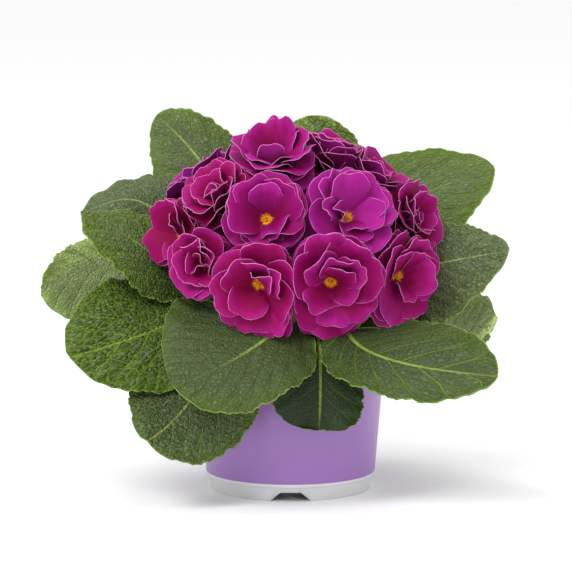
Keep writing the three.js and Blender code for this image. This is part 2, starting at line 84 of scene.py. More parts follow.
# ---- Leaves ----
LEAF_THICKNESS = 0.6
PETIOLE_HALF_WIDTH = 2.2
PETIOLE_DEPTH = 2.6
BLADE_LENGTH = 75
VEIN_PAIRS = 7
VEIN_STEP = 70 / VEIN_PAIRS
VEIN_FORK = 0.24
VEIN_STAGGER = 0.24
TOOTH_SPACING = 2.9
TOOTH_DEPTH = 0.4
VEIN_SWEEP = 0.6
VEIN_SLANT = 0.95
BLISTER_SIZE = 2.6
BLISTER_HEIGHT = 0.6

# Mesh columns and rows: blistered leaves need the most, and the repeats behind the fewest.
BLISTERED_GRID = (57, 96)
SMOOTH_GRID = (45, 80)
BEHIND_GRID = (29, 50)
YOUNG_GRID = (15, 24)
BLISTERED_FROM = 0.5
LEAVES_BEHIND = (
    "leaf_back_low_left", "leaf_back_upright", "leaf_back_low", "leaf_back_low_right", "leaf_right_back",
)
PETAL_GRID = (21, 13)
PETAL_BEHIND_GRID = (13, 9)
BLOOMS_IN_FRONT = 13

# Each leaf's midrib leaves the crown at an azimuth and a height, passes through two points and ends at
# its tip. Blade is the share of the midrib that is petiole, before the blade begins. Halves are how wide its
# two sides are. Roll turns the blade about its midrib, at its root and at its tip, bend droops (+) or lifts
# (-) its two sides, and wave is how high its edge waves. Puff is how much it is blistered, veins how far out
# its midrib stays pale and how pale its side veins are, tone how light it is and fresh how yellow a green.
# A leaf's tone is partly its own lightness and partly painted light and shade for where it lies under the
# blooms.
LEAVES = [
    dict(name="leaf_front_left", azimuth=-104, height=79,
         path=[(-3.8, -46.6, 90.9), (-18.1, -63.8, 82.3), (-57.3, -79, 64.7)],
         halves=(32, 57), roll=(-4, -48), bend=20, wave=2, blade=0.33,
         puff=0.4, veins=0.1, tone=0.12, fresh=0.64),
    dict(name="leaf_front_right", azimuth=-52, height=79,
         path=[(27.6, -49.6, 88.2), (39.4, -66.6, 80.2), (100.5, -100, 73.7)],
         halves=(36, 22), roll=(-19, 56), bend=22, wave=2, blade=0.34,
         puff=0.35, veins=0.45, tone=0.09, fresh=0.85),
    dict(name="leaf_front_low", azimuth=-78, height=75,
         path=[(13, -48, 88.5), (14.8, -61.9, 61.6), (14.1, -65, 40.8)],
         halves=(22, 26), roll=(2, -5), bend=30, wave=1, blade=0.36,
         puff=0.1, veins=0.25, tone=0, fresh=1),
    dict(name="leaf_left_hanging", azimuth=-130, height=75,
         path=[(-29.7, -43, 86.9), (-44.1, -49.6, 62.9), (-70.9, -74.2, 36.9)],
         halves=(35, 35), roll=(-5, -43), bend=20, wave=2, blade=0.33,
         puff=0.85, veins=0.7, tone=0.21, fresh=0.34),
    dict(name="leaf_left_low", azimuth=-154, height=78,
         path=[(-40.1, -21.8, 93.3), (-58.7, -27.3, 89.2), (-109.6, -57.9, 76)],
         halves=(38, 42), roll=(31, -58), bend=8, wave=2, blade=0.28,
         puff=0.9, veins=0.7, tone=0.16, fresh=0.99),
    dict(name="leaf_far_left", azimuth=176, height=76,
         path=[(-52.3, 8, 94), (-83.1, 32, 107.5), (-127.1, -2.9, 103)],
         halves=(36, 17), roll=(-70, -70), bend=10, wave=2, blade=0.48,
         puff=0.3, veins=0.15, tone=0.71, fresh=0.18),
    dict(name="leaf_left", azimuth=178, height=81,
         path=[(-47.8, -1.9, 99.8), (-68.3, -3, 118.8), (-105.2, 6.1, 140.1)],
         halves=(26, 27), roll=(-63, -15), bend=8, wave=1.5, blade=0.35,
         puff=0.8, veins=0.25, tone=0.25, fresh=0.81),
    dict(name="leaf_left_high", azimuth=158, height=82,
         path=[(-50.2, 18, 107), (-69.9, 28.9, 138.7), (-108.3, 37.7, 135.3)],
         halves=(20, 31), roll=(-70, -13), bend=8, wave=1.5, blade=0.47,
         puff=0.85, veins=0.4, tone=0.26, fresh=0.31),
    dict(name="leaf_back_left", azimuth=121, height=82,
         path=[(-25.9, 54, 103), (-36, 69.8, 138.9), (-70.7, 87.9, 181.9)],
         halves=(29, 23), roll=(-38, -70), bend=8, wave=2, blade=0.43,
         puff=0.4, veins=0.4, tone=0.21, fresh=0.49),
    dict(name="leaf_back", azimuth=78, height=82,
         path=[(14.7, 66.2, 99.7), (14.9, 91.7, 132.4), (14.3, 100.2, 180.7)],
         halves=(30, 31), roll=(-37, 13), bend=8, wave=2, blade=0.39,
         puff=0.7, veins=0.2, tone=0.5, fresh=0.5),
    dict(name="leaf_back_right", azimuth=50, height=84,
         path=[(34.8, 54, 108.9), (48.8, 72.5, 129), (107.4, 82, 155.7)],
         halves=(36, 38), roll=(69, 40), bend=10, wave=2, blade=0.29,
         puff=0.55, veins=0.3, tone=0.24, fresh=0.67),
    dict(name="leaf_right", azimuth=7, height=81,
         path=[(43.2, 5.2, 101.7), (68.2, 2.9, 113), (110.6, -7.3, 122.5)],
         halves=(26, 36), roll=(56, 40), bend=8, wave=2, blade=0.35,
         puff=0.75, veins=0.4, tone=0.25, fresh=0.19),
    dict(name="leaf_right_low", azimuth=-10, height=76,
         path=[(41.8, -5, 90.5), (69.1, 4, 77.5), (103.9, -12.2, 90.7)],
         halves=(30, 12), roll=(45, 63), bend=12, wave=1.5, blade=0.5,
         puff=0.3, veins=0.15, tone=0.96, fresh=0),
    dict(name="leaf_back_low_left", azimuth=150, height=75,
         path=[(-41.7, 30, 89.2), (-71.5, 52, 59), (-99.5, 71.1, 73)],
         halves=(26, 26), roll=(-5, -5), bend=15, wave=2, blade=0.34,
         puff=0.8, veins=0.3, tone=0.5, fresh=0.4),
    dict(name="leaf_back_upright", azimuth=102, height=84.5,
         path=[(-15.1, 63, 96.2), (-28.2, 84.7, 117.3), (-35.4, 96, 146.8)],
         halves=(23, 23), roll=(0, -9), bend=8, wave=2, blade=0.36,
         puff=0.8, veins=0.3, tone=0.4, fresh=0.4),
    dict(name="leaf_back_low", azimuth=92, height=74.5,
         path=[(-2, 47, 83.5), (-7, 74, 80), (-10, 96, 66)],
         halves=(28, 28), roll=(0, 0), bend=15, wave=2, blade=0.34,
         puff=0.8, veins=0.3, tone=0.6, fresh=0.4),
    dict(name="leaf_back_low_right", azimuth=54, height=75,
         path=[(28, 37.2, 82), (49.9, 64.1, 81.1), (65.9, 88, 68.7)],
         halves=(26, 26), roll=(1, 0), bend=15, wave=2, blade=0.34,
         puff=0.8, veins=0.3, tone=0.45, fresh=0.5),
    dict(name="leaf_right_back", azimuth=22, height=77,
         path=[(44.7, 19.4, 89.7), (74, 30, 76), (94, 41, 84)],
         halves=(22, 23), roll=(10, 22), bend=15, wave=1.5, blade=0.37,
         puff=0.8, veins=0.3, tone=0.55, fresh=0.3),
]

# The young leaves round the crown: azimuth, length, rise, how far the tip stands aside, and roll.
YOUNG_LEAVES = [
    (-92, 30, 2, 4, 5), (-66, 34, 6, -4, 20), (-114, 34, 6, 4, -20), (-40, 34, 4, -3, 50), (-8, 38, 3, 3, 66),
    (28, 36, 6, 0, 50), (64, 34, 8, 2, 20), (112, 34, 8, -2, -20), (152, 36, 6, 0, -50),
    (-168, 38, 3, -3, -66), (-142, 34, 4, 3, -50),
]
YOUNG_LEAF = dict(height=85.5, bend=-14, wave=1, blade=0.3, puff=0.5, veins=0.2, tone=0.2, fresh=0.7)
YOUNG_LEAF_LEVEL = 86
YOUNG_LEAF_HALF = 0.3
# How far out, and how far up its rise, each point of a young leaf's midrib is. Each half of its blade is
# YOUNG_LEAF_HALF of its length wide.
YOUNG_LEAF_RUN = ((0.35, 0.6), (0.68, 1.0), (1.0, 0.9))
FIRST_YOUNG_NUMBER = 40

# ---- Blooms ----
# Each bloom: where its throat is, the way it faces, its radius for its share of the dome, its tint from
# crimson (0) to violet (1), at times painted light and shade that make it lighter or darker, and its petals.
# A row of petals is how many stand evenly round the throat, the clock angle of the first (0 up, 90 to the
# right for someone in front), the lean from the bloom's axis at the petal's foot and at its tip, its length,
# its width and how far each half cups inwards.
DOME_HEART = np.array([0.0, 0.0, 106.0])
PETAL_THICKNESS = 0.4
WEDGE_ROOM = 1.14
WEDGE_SOFTNESS = 6
WIDEST_WEDGE = 1.4
MOST_LIFT = 4
ANTHER_COUNT = 7
BLOOMS = [
    dict(at=(-9, -6, 167), face=(-0.08, -0.42, 0.9), radius=29, tint=0.55, painted_light_and_shade=0.35, petals=[
        (1, 175, 26, -16, 16, 15, 30), (1, -20, 18, 34, 25, 19, 14), (1, 16, 22, 36, 26, 19, 14),
        (1, 46, 28, 46, 24, 19, 10), (1, -62, 30, 50, 23, 18, 22), (1, -84, 42, 64, 25, 20, 16),
        (1, 78, 34, 56, 26, 21, 22), (1, 100, 50, 72, 27, 22, 12), (1, 138, 38, 58, 18, 18, 20),
        (1, 215, 36, 58, 19, 18, 26), (1, 178, 46, 70, 21, 24, 14), (3, 135, 60, 82, 25, 25, 6),
        (6, 0, 72, 94, 26, 25, 2), (1, -40, 5, 12, 11, 8, 60)]),
    dict(at=(18, 8, 163), face=(0.4, 0, 0.92), radius=23, tint=0.4, painted_light_and_shade=0.3, petals=[
        (3, 10, 4, 10, 17, 13, 60), (4, 36, 14, 24, 20, 18, 36), (5, 0, 28, 42, 23, 21, 26),
        (5, 30, 42, 62, 24, 22, 12), (6, 10, 62, 84, 24, 22, 4)]),
    dict(at=(39, 12, 155), face=(0.6, -0.1, 0.8), radius=26, tint=0.5, painted_light_and_shade=0.1, petals=[
        (3, 50, 4, 14, 8, 8, 50), (4, 20, 18, 34, 16, 14, 24), (1, 40, 26, 40, 21, 20, 14),
        (1, -5, 28, 44, 20, 21, 14), (4, 100, 34, 54, 22, 20, 14), (5, 0, 52, 72, 25, 23, 8),
        (6, 30, 70, 92, 26, 24, 2)]),
    dict(at=(58, 2, 137), face=(0.8, -0.45, 0.4), radius=25, tint=0.35, petals=[
        (3, 0, 4, 12, 12, 12, 64), (1, 30, 18, 30, 22, 18, 30), (1, -40, 24, 38, 21, 17, 24),
        (1, 95, 22, 36, 18, 18, 30), (1, 165, 30, 44, 18, 20, 24), (1, 228, 28, 42, 20, 20, 24),
        (1, -85, 36, 52, 22, 20, 16), (1, 0, 40, 56, 24, 22, 14), (1, 66, 42, 60, 23, 22, 12),
        (1, 130, 46, 64, 22, 22, 12), (1, 200, 48, 66, 24, 23, 10), (1, 262, 50, 68, 25, 23, 8),
        (6, 0, 66, 88, 25, 24, 2)]),
    dict(at=(28, -34, 143), face=(0.35, -0.8, 0.5), radius=30, tint=0.65, painted_light_and_shade=0.8, petals=[
        (1, -6, 28, 44, 26, 22, 14), (1, 22, 40, 58, 27, 22, 10), (1, -32, 46, 64, 27, 20, 10),
        (1, 62, 42, 64, 24, 20, 14), (1, 104, 36, 58, 21, 18, 20), (1, 82, 58, 84, 27, 22, 6),
        (1, 152, 34, 56, 15, 16, 18), (1, 172, 50, 74, 18, 18, 10), (1, 262, 26, 38, 19, 11, 52),
        (1, 276, 40, 50, 23, 13, 46), (3, 140, 66, 90, 26, 25, 2), (6, 20, 68, 88, 27, 26, 2)]),
    dict(at=(-12, -40, 143), face=(-0.1, -0.9, 0.45), radius=28, tint=0.7, painted_light_and_shade=-0.2, petals=[
        (1, 5, 22, 40, 23, 18, 18), (1, 34, 38, 58, 25, 22, 12), (1, -30, 36, 56, 25, 22, 14),
        (1, -64, 44, 66, 25, 22, 14), (1, 62, 46, 68, 24, 21, 10), (1, -98, 38, 60, 24, 22, 22),
        (1, 98, 50, 72, 23, 20, 10), (1, 134, 42, 60, 17, 19, 22), (1, 172, 46, 62, 15, 19, 18),
        (1, 214, 48, 66, 18, 21, 18), (1, 192, 60, 80, 19, 23, 8), (3, 145, 72, 96, 25, 26, 0),
        (6, 0, 68, 88, 26, 25, 2)]),
    dict(at=(-34, -20, 149), face=(-0.55, -0.5, 0.66), radius=26, tint=0.3, painted_light_and_shade=-0.35, petals=[
        (3, 50, 4, 14, 14, 12, 50), (4, 10, 20, 36, 19, 16, 26), (5, 30, 36, 54, 23, 20, 16),
        (5, 0, 52, 74, 25, 22, 8), (6, 30, 70, 92, 25, 24, 2)]),
    dict(at=(-42, 14, 154), face=(-0.6, 0.1, 0.8), radius=28, tint=0.9, painted_light_and_shade=0.3, petals=[
        (3, 40, 4, 14, 9, 9, 56), (3, 0, 18, 32, 16, 16, 30), (4, 40, 40, 60, 23, 21, 16),
        (5, 0, 54, 74, 26, 23, 8), (6, 30, 70, 90, 27, 25, 2)]),
    dict(at=(-54, -15, 132), face=(-0.78, -0.6, 0.2), radius=24, tint=0.3, painted_light_and_shade=-0.5, petals=[
        (1, -44, 40, 58, 23, 22, 12), (1, 12, 34, 54, 23, 18, 24), (1, 40, 22, 34, 18, 12, 40),
        (1, 238, 46, 72, 22, 20, 12), (1, 100, 30, 50, 16, 15, 24), (1, 170, 40, 62, 17, 17, 14),
        (5, 20, 58, 80, 23, 22, 6), (6, 0, 72, 92, 23, 23, 2)]),
    dict(at=(-43, -38, 121), face=(-0.45, -0.87, 0.12), radius=20, tint=0.35, petals=[
        (1, 20, 8, 14, 11, 10, 84), (1, 150, 10, 20, 13, 12, 70), (1, 265, 12, 24, 14, 14, 60),
        (1, -15, 24, 36, 18, 15, 40), (1, 40, 24, 34, 20, 15, 48), (1, 78, 30, 42, 20, 17, 40),
        (1, 250, 32, 46, 18, 19, 34), (1, 188, 34, 48, 17, 22, 34), (1, 122, 42, 58, 18, 18, 22),
        (1, -45, 46, 62, 20, 19, 18), (1, 215, 54, 72, 20, 22, 14), (1, 150, 56, 76, 20, 22, 12),
        (4, 10, 62, 82, 20, 20, 6)]),
    dict(at=(-16, -58, 113.2), face=(-0.25, -0.95, -0.12), radius=27, tint=0.3, petals=[
        (1, -48, 30, 50, 24, 21, 20), (1, 0, 34, 50, 20, 18, 10), (1, 46, 18, 30, 21, 15, 56),
        (1, 74, 38, 56, 21, 18, 22), (1, 206, 32, 60, 21, 21, 22), (1, 186, 58, 80, 26, 25, 8),
        (1, 158, 62, 84, 28, 21, 6), (1, 256, 48, 74, 27, 24, 12), (1, 232, 62, 86, 27, 23, 4),
        (1, 198, 74, 96, 31, 25, 0), (1, 160, 76, 98, 32, 23, 0), (1, 120, 56, 78, 25, 22, 8),
        (5, 10, 66, 86, 26, 24, 4)]),
    dict(at=(20, -56, 114.2), face=(0.2, -0.97, -0.05), radius=30, tint=0.45, petals=[
        (1, 26, 16, 26, 22, 18, 64), (1, 2, 26, 36, 25, 19, 48), (1, 48, 28, 42, 25, 18, 40),
        (1, -42, 34, 50, 26, 21, 20), (1, -72, 54, 74, 28, 25, 14), (1, 76, 48, 68, 28, 26, 12),
        (1, 112, 28, 52, 19, 17, 16), (1, 178, 36, 62, 14, 18, 12), (1, 180, 58, 82, 24, 27, 8),
        (1, 232, 42, 70, 20, 17, 12), (1, 222, 62, 88, 29, 25, 2), (1, 130, 54, 78, 27, 25, 10),
        (1, 174, 74, 95, 31, 27, 0), (1, -14, 54, 74, 30, 25, 8), (1, 30, 50, 70, 29, 25, 8),
        (5, 10, 72, 88, 28, 26, 2)]),
    dict(at=(54, -27, 112.7), face=(0.75, -0.65, -0.05), radius=27, tint=0.4, petals=[
        (1, 84, 12, 34, 23, 21, 46), (1, 20, 28, 40, 20, 12, 20), (1, 8, 44, 60, 24, 17, 10),
        (1, -32, 38, 60, 20, 18, 12), (1, -52, 54, 76, 24, 21, 6), (1, 58, 48, 74, 25, 22, 8),
        (1, 100, 52, 80, 26, 23, 8), (1, 192, 28, 52, 17, 15, 22), (1, 206, 62, 88, 28, 25, 2),
        (1, 150, 56, 84, 26, 23, 4), (6, 0, 70, 90, 26, 24, 2)]),
    dict(at=(-18, 34, 153), face=(-0.3, 0.6, 0.75), radius=30, tint=0.5, petals=[]),
    dict(at=(22, 33, 151), face=(0.35, 0.55, 0.75), radius=30, tint=0.4, petals=[]),
    dict(at=(41, 34, 120), face=(0.65, 0.7, 0.3), radius=22, tint=0.5, petals=[]),
    dict(at=(-39, 37, 118), face=(-0.55, 0.8, 0.2), radius=21, tint=0.6, petals=[]),
    dict(at=(0, 45, 114), face=(0, 0.98, 0.15), radius=26, tint=0.45, petals=[]),
]
# The petals of a bloom that has no list of its own, with lengths and widths as shares of its radius.
USUAL_PETALS = [
    (3, 20, 6, 24, 0.55, 0.5, 44), (4, 50, 24, 42, 0.72, 0.7, 24), (5, 0, 42, 62, 0.88, 0.82, 14),
    (5, 36, 58, 80, 0.96, 0.9, 6), (6, 10, 72, 94, 1.0, 0.92, 2),
]
for bloom in BLOOMS:
    bloom["at"] = np.array(bloom["at"], float)
    bloom["face"] = np.array(bloom["face"], float) / np.linalg.norm(bloom["face"])

UP = np.array([0.0, 0.0, 1.0])


# ---- Small mathematics ----
def scatter(first, second):
    """A number from 0 to 1 that is fixed for each pair of numbers."""
    mixed = math.sin(first * 12.9898 + second * 78.233) * 43758.5453
    return mixed - math.floor(mixed)


def lerp(start, end, share):
    return start + (end - start) * share


def smooth(low, high, value):
    share = np.clip((value - low) / (high - low), 0, 1)
    return share * share * (3 - 2 * share)


def unit(vectors):
    """Vectors made one unit long; a vector with no length stays as it is."""
    return vectors / np.maximum(np.linalg.norm(vectors, axis=-1, keepdims=True), 1e-12)


def cubic(start, leave, arrive, end, t):
    """Points of a curve that leaves its start towards one point and arrives at its end from another."""
    early = start * (1 - t) ** 3 + 3 * leave * t * (1 - t) ** 2
    return early + 3 * arrive * t ** 2 * (1 - t) + end * t ** 3


def around(sides):
    """The angles of even steps round a circle."""
    return np.arange(sides) * 2 * math.pi / sides


def round_points(radius, angle, height):
    """Points round the upright axis."""
    x, y = radius * np.cos(angle), radius * np.sin(angle)
    return np.stack([x, y, np.broadcast_to(height, x.shape)], -1)


def cells(along, across, seed):
    """Rounded blisters: 1 in the middle of a cell of an uneven unit grid, falling to 0 between cells."""
    column = np.floor(along)
    row = np.floor(across)
    nearest = np.full(along.shape, 9.0)
    second = np.full(along.shape, 9.0)
    for i in (-1, 0, 1):
        for j in (-1, 0, 1):
            a = column + i
            b = row + j
            mixed_a = np.sin(a * 127.1 + b * 311.7 + seed) * 43758.5453
            mixed_b = np.sin(a * 269.5 + b * 183.3 + seed) * 43758.5453
            centre_a = a + 0.5 + 0.7 * (mixed_a - np.floor(mixed_a) - 0.5)
            centre_b = b + 0.5 + 0.7 * (mixed_b - np.floor(mixed_b) - 0.5)
            distance = np.hypot(along - centre_a, across - centre_b)
            second = np.minimum(second, np.maximum(nearest, distance))
            nearest = np.minimum(nearest, distance)
    return smooth(0, 0.55, second - nearest)


# ---- Meshes ----
def linked(name, data):
    """A new object in the scene, from its mesh, camera or light."""
    obj = bpy.data.objects.new(name, data)
    bpy.context.scene.collection.objects.link(obj)
    return obj


def make_object(name, points, faces, material, values=None, uv=None):
    """A smooth object from millimetre points and faces, with a number per point under each name."""
    mesh = bpy.data.meshes.new(name)
    mesh.from_pydata(((np.asarray(points) + POT_AXIS) * MM).tolist(), [], faces)
    mesh.polygons.foreach_set("use_smooth", [True] * len(mesh.polygons))
    for key, numbers in (values or {}).items():
        attribute = mesh.attributes.new(key, "FLOAT", "POINT")
        attribute.data.foreach_set("value", np.asarray(numbers, np.float32))
    if uv is not None:
        corners = np.empty(len(mesh.loops), np.int32)
        mesh.loops.foreach_get("vertex_index", corners)
        layer = mesh.uv_layers.new(name="UVMap")
        layer.data.foreach_set("uv", np.asarray(uv, np.float32)[corners].ravel())
    mesh.materials.append(material)
    mesh.update()
    return linked(name, mesh)


def grid_normals(points):
    """Unit normals of a grid of points, from its rows and columns."""
    along = np.gradient(points, axis=0)
    across = np.gradient(points, axis=1)
    return unit(np.cross(across, along))


def shell(top, bottom):
    """Faces of a thin closed sheet between two grids of points of the same shape."""
    rows, columns = top.shape[:2]
    index = np.arange(rows * columns).reshape(rows, columns)
    low = index + rows * columns
    quads = np.stack([index[:-1, :-1], index[:-1, 1:], index[1:, 1:], index[1:, :-1]], -1).reshape(-1, 4)
    under = np.stack([low[:-1, :-1], low[1:, :-1], low[1:, 1:], low[:-1, 1:]], -1).reshape(-1, 4)
    rim = np.concatenate([index[0, :], index[1:, -1], index[-1, -2::-1], index[-2:0:-1, 0]])
    ahead = np.roll(rim, -1)
    edge = np.stack([rim, rim + rows * columns, ahead + rows * columns, ahead], -1)
    points = np.concatenate([top.reshape(-1, 3), bottom.reshape(-1, 3)])
    return points, np.concatenate([quads, under, edge])


class Parts:
    """Collects closed sheets and solids that make one object."""

    def __init__(self):
        self.points = []
        self.faces = []
        self.values = {}
        self.uv = []
        self.count = 0

    def add(self, points, faces, values, uv=None):
        self.points.append(points)
        self.faces.extend((np.asarray(face) + self.count).tolist() for face in faces)
        for key, numbers in values.items():
            self.values.setdefault(key, []).append(np.broadcast_to(numbers, len(points)))
        self.uv.append(uv if uv is not None else np.zeros((len(points), 2)))
        self.count += len(points)

    def make(self, name, material):
        values = {key: np.concatenate(numbers) for key, numbers in self.values.items()}
        points = np.concatenate(self.points)
        return make_object(name, points, self.faces, material, values, np.concatenate(self.uv))


def bands(index):
    """Faces between neighbouring rings of point numbers."""
    faces = []
    for ring, above in zip(index[:-1], index[1:]):
        faces += np.stack([ring, np.roll(ring, -1), np.roll(above, -1), above], -1).tolist()
    return faces


def closed_rings(index, first, last):
    """Bands that a fan of triangles closes at each end, to the first and the last point."""
    below = [[first, int(b), int(a)] for a, b in zip(index[0], np.roll(index[0], -1))]
    above = [[last, int(a), int(b)] for a, b in zip(index[-1], np.roll(index[-1], -1))]
    return bands(index) + below + above


def turned(profile, sides, wobble=0.0):
    """A round closed body about the pot's axis, from a profile that starts and ends on the axis."""
    profile = np.array(profile, float)
    angle = around(sides)
    middle = profile[1:-1]
    radius = middle[:, None, 0] + wobble * np.sin(3 * angle + middle[:, None, 1])
    rings = round_points(radius, angle, middle[:, None, 1])
    points = np.concatenate([rings.reshape(-1, 3), [[0, 0, profile[0, 1]], [0, 0, profile[-1, 1]]]])
    index = np.arange(len(middle) * sides).reshape(-1, sides)
    return points, closed_rings(index, len(points) - 2, len(points) - 1)


# ---- Materials ----
class Value:
    """A number that varies over a surface, as a socket that takes part in sums."""

    def __init__(self, finish, socket):
        self.finish = finish
        self.socket = socket

    def math(self, operation, *others):
        return self.finish.node("ShaderNodeMath", {"operation": operation}, self, *others)

    def __add__(self, other):
        return self.math("ADD", other)

    def __sub__(self, other):
        return self.math("SUBTRACT", other)

    def __mul__(self, other):
        return self.math("MULTIPLY", other)

    def __pow__(self, other):
        return self.math("POWER", other)

    def __rsub__(self, other):
        return self.finish.node("ShaderNodeMath", {"operation": "SUBTRACT"}, other, self)

    __radd__ = __add__
    __rmul__ = __mul__

    def between(self, low, high):
        """0 below low and 1 above high, smooth between them."""
        settings = {"interpolation_type": "SMOOTHSTEP"}
        return self.finish.node("ShaderNodeMapRange", settings, self, low, high, 0, 1)


class Finish:
    """One procedural material."""

    def __init__(self, name, roughness, **constants):
        self.material = bpy.data.materials.new(name)
        self.material.use_nodes = True
        self.tree = self.material.node_tree
        self.tree.nodes.clear()
        self.surface = self.tree.nodes.new("ShaderNodeBsdfPrincipled")
        output = self.tree.nodes.new("ShaderNodeOutputMaterial")
        self.tree.links.new(self.surface.outputs["BSDF"], output.inputs["Surface"])
        self.surface.inputs["Roughness"].default_value = roughness
        for key, number in constants.items():
            self.surface.inputs[key.replace("_", " ")].default_value = number

    def feed(self, socket, value):
        if isinstance(value, Value):
            self.tree.links.new(value.socket, socket)
        elif value is not None:
            socket.default_value = value

    def node(self, kind, settings, *inputs, output=0, **named):
        """Any node: its settings first, then the values or links of its sockets."""
        node = self.tree.nodes.new(kind)
        for key, setting in settings.items():
            setattr(node, key, setting)
        for socket, value in zip(node.inputs, inputs):
            self.feed(socket, value)
        for key, value in named.items():
            self.feed(node.inputs[key], value)
        return Value(self, node.outputs[output])

    def value(self, name):
        return self.node("ShaderNodeAttribute", {"attribute_name": name}, output="Fac")

    def place_on_object(self):
        return self.node("ShaderNodeTexCoord", {}, output="Object")

    def place_on_sheet(self):
        """Where a leaf's or a petal's own flat pattern puts a point."""
        return self.node("ShaderNodeUVMap", {"uv_map": "UVMap"})

    def mix(self, share, first, second):
        """The mix of two colours."""
        node = self.tree.nodes.new("ShaderNodeMix")
        node.data_type = "RGBA"
        self.feed(node.inputs["Factor"], share)
        self.feed(node.inputs[6], first)
        self.feed(node.inputs[7], second)
        return Value(self, node.outputs[2])

    def times(self, colour, factor):
        """A colour made lighter or darker."""
        return self.node("ShaderNodeVectorMath", {"operation": "SCALE"}, colour, Scale=factor)

    def noise(self, place, scale, detail=2.0, roughness=0.5):
        return self.node("ShaderNodeTexNoise", {}, Vector=place, Scale=scale, Detail=detail,
                         Roughness=roughness)

    def net(self, place, size):
        """The distance to the nearest line of an uneven net, whose meshes are about a size in millimetres."""
        return self.node("ShaderNodeTexVoronoi", {"feature": "DISTANCE_TO_EDGE"}, Vector=place,
                         Scale=100 / size)

    def bump(self, height, distance, strength=1.0):
        bump = self.node("ShaderNodeBump", {}, Strength=strength, Distance=distance, Height=height)
        self.feed(self.surface.inputs["Normal"], bump)

    def colour(self, value):
        self.feed(self.surface.inputs["Base Color"], value)


def rgb(red, green, blue):
    """A display colour from 0 to 255, as the linear colour that a socket takes."""
    shades = (red, green, blue)
    linear = [((c / 255 + 0.055) / 1.055) ** 2.4 if c > 10 else c / 255 / 12.92 for c in shades]
    return (*linear, 1.0)


# The greens that a leaf lies between, by its tone and by how fresh it is.
MATURE_DARK, MATURE_LIGHT = rgb(22, 30, 16), rgb(196, 214, 150)
FRESH_DARK, FRESH_LIGHT = rgb(20, 40, 0), rgb(138, 172, 16)


def leaf_finish():
    finish = Finish("leaf_blade", 0.42, Specular_IOR_Level=0.3)
    place = finish.place_on_sheet()
    across = finish.value("across_mm")
    row = finish.value("row")
    share = finish.value("share")
    margin = finish.value("margin_mm")
    tone = finish.value("tone")
    fresh = finish.value("fresh")
    under = finish.value("under")
    blister = finish.value("blister")
    drift = finish.noise(place, 26, 3)
    warped = finish.node("ShaderNodeVectorMath", {"operation": "ADD"}, place,
                         finish.node("ShaderNodeVectorMath", {"operation": "SCALE"},
                                     finish.node("ShaderNodeTexNoise", {}, Vector=place, Scale=60, Detail=1,
                                                 output="Color"), Scale=0.012))
    pimple = finish.net(warped, 1.7).between(0, 0.35)
    puff = finish.value("puff")
    yellowed = (fresh + (1 - margin.between(0, 14)) * 0.3).math("MINIMUM", 1.0)
    fork = share.between(0.42, 1.0) * VEIN_FORK
    from_vein = (finish.value("vein").math("PINGPONG", 0.5) - fork).math("ABSOLUTE") * VEIN_STEP
    side_vein = (1 - (from_vein + share * 0.1).between(0.12, 0.62)) * (1 - share.between(0.6, 0.95) * 0.6)
    veins = finish.value("veins")
    midrib_width = 0.28 + 0.95 * (1 - row) ** 1.3 * (0.4 + puff * 1.5).math("MINIMUM", 1.0)
    midrib = 1 - (across.math("ABSOLUTE") - midrib_width).between(-0.2, 0.45)
    midrib = midrib * (1 - (row - veins).between(0.3, 0.7) * 0.85)
    petiole = (0 - row).between(-0.001, 0.02)
    dark = finish.mix(yellowed, MATURE_DARK, FRESH_DARK)
    light = finish.mix(yellowed, MATURE_LIGHT, FRESH_LIGHT)
    ground = finish.mix(tone, dark, light)
    # Painted shade: the blade is made darker near the crown, under the blooms, and lighter out towards its
    # margin and tip.
    reach = 0.42 + row.between(-0.1, 0.6) * 0.48 + (1 - margin.between(0, 13)) * 0.34
    swell = puff * puff
    bed = finish.value("vein") * VEIN_STEP
    dome = finish.net(warped, BLISTER_SIZE).between(0, 0.25)
    # Random mottling, with painted shade in the grooves between pimples and in the valleys between blisters.
    mottle_and_groove_shade = 1 + (pimple - 0.75) * (0.2 + puff * 0.25) + (drift - 0.5) * 0.7 + (blister - 0.7) * swell * 0.3
    ground = finish.times(ground, mottle_and_groove_shade * reach)
    # The valleys between blisters: yellow-green on fresh leaves, painted dark shade on mature ones.
    valley_tint_and_shade = finish.mix(fresh, rgb(36, 52, 32), rgb(86, 116, 22))
    ground = finish.mix((1 - dome) * swell * 0.8, ground, valley_tint_and_shade)
    combed = finish.node("ShaderNodeCombineXYZ", {}, bed * 0.6, across * 0.12)
    # Painted highlights: whitish streaks along the ridges and glints on the pimple tops; the ridges also feed
    # the bump.
    ridge = finish.noise(combed, 1.0, 2).between(0.5, 0.72) * finish.noise(place, 14, 2).between(0.42, 0.62)
    glint = pimple.between(0.75, 1) * finish.noise(place, 90, 2).between(0.48, 0.62) * puff
    shine = (ridge * (0.03 + puff * 0.2) + glint * 0.3) * (1 - share.between(0.75, 1))
    ground = finish.mix(shine, ground, rgb(158, 174, 154))
    vein_colour = finish.mix(fresh, rgb(124, 144, 84), rgb(118, 148, 38))
    ground = finish.mix(side_vein * veins, ground, vein_colour)
    rib_colour = finish.mix(fresh, rgb(150, 168, 98), rgb(122, 148, 44))
    ground = finish.mix(midrib.math("MAXIMUM", petiole) * 0.9, ground, rib_colour)
    ground = finish.mix((1 - margin.between(0.15, 0.6)) * 0.6, ground, rgb(140, 166, 66))
    ground = finish.mix(under * 0.5, ground, rgb(112, 134, 82))
    finish.colour(ground)
    finish.feed(finish.surface.inputs["Roughness"], 0.5 - blister * 0.16)
    height = dome * swell * 0.9 + pimple * (0.1 + puff * 0.35) + ridge * 0.25 - side_vein * 0.4
    finish.bump(height, 0.0012, 1.0)
    return finish.material


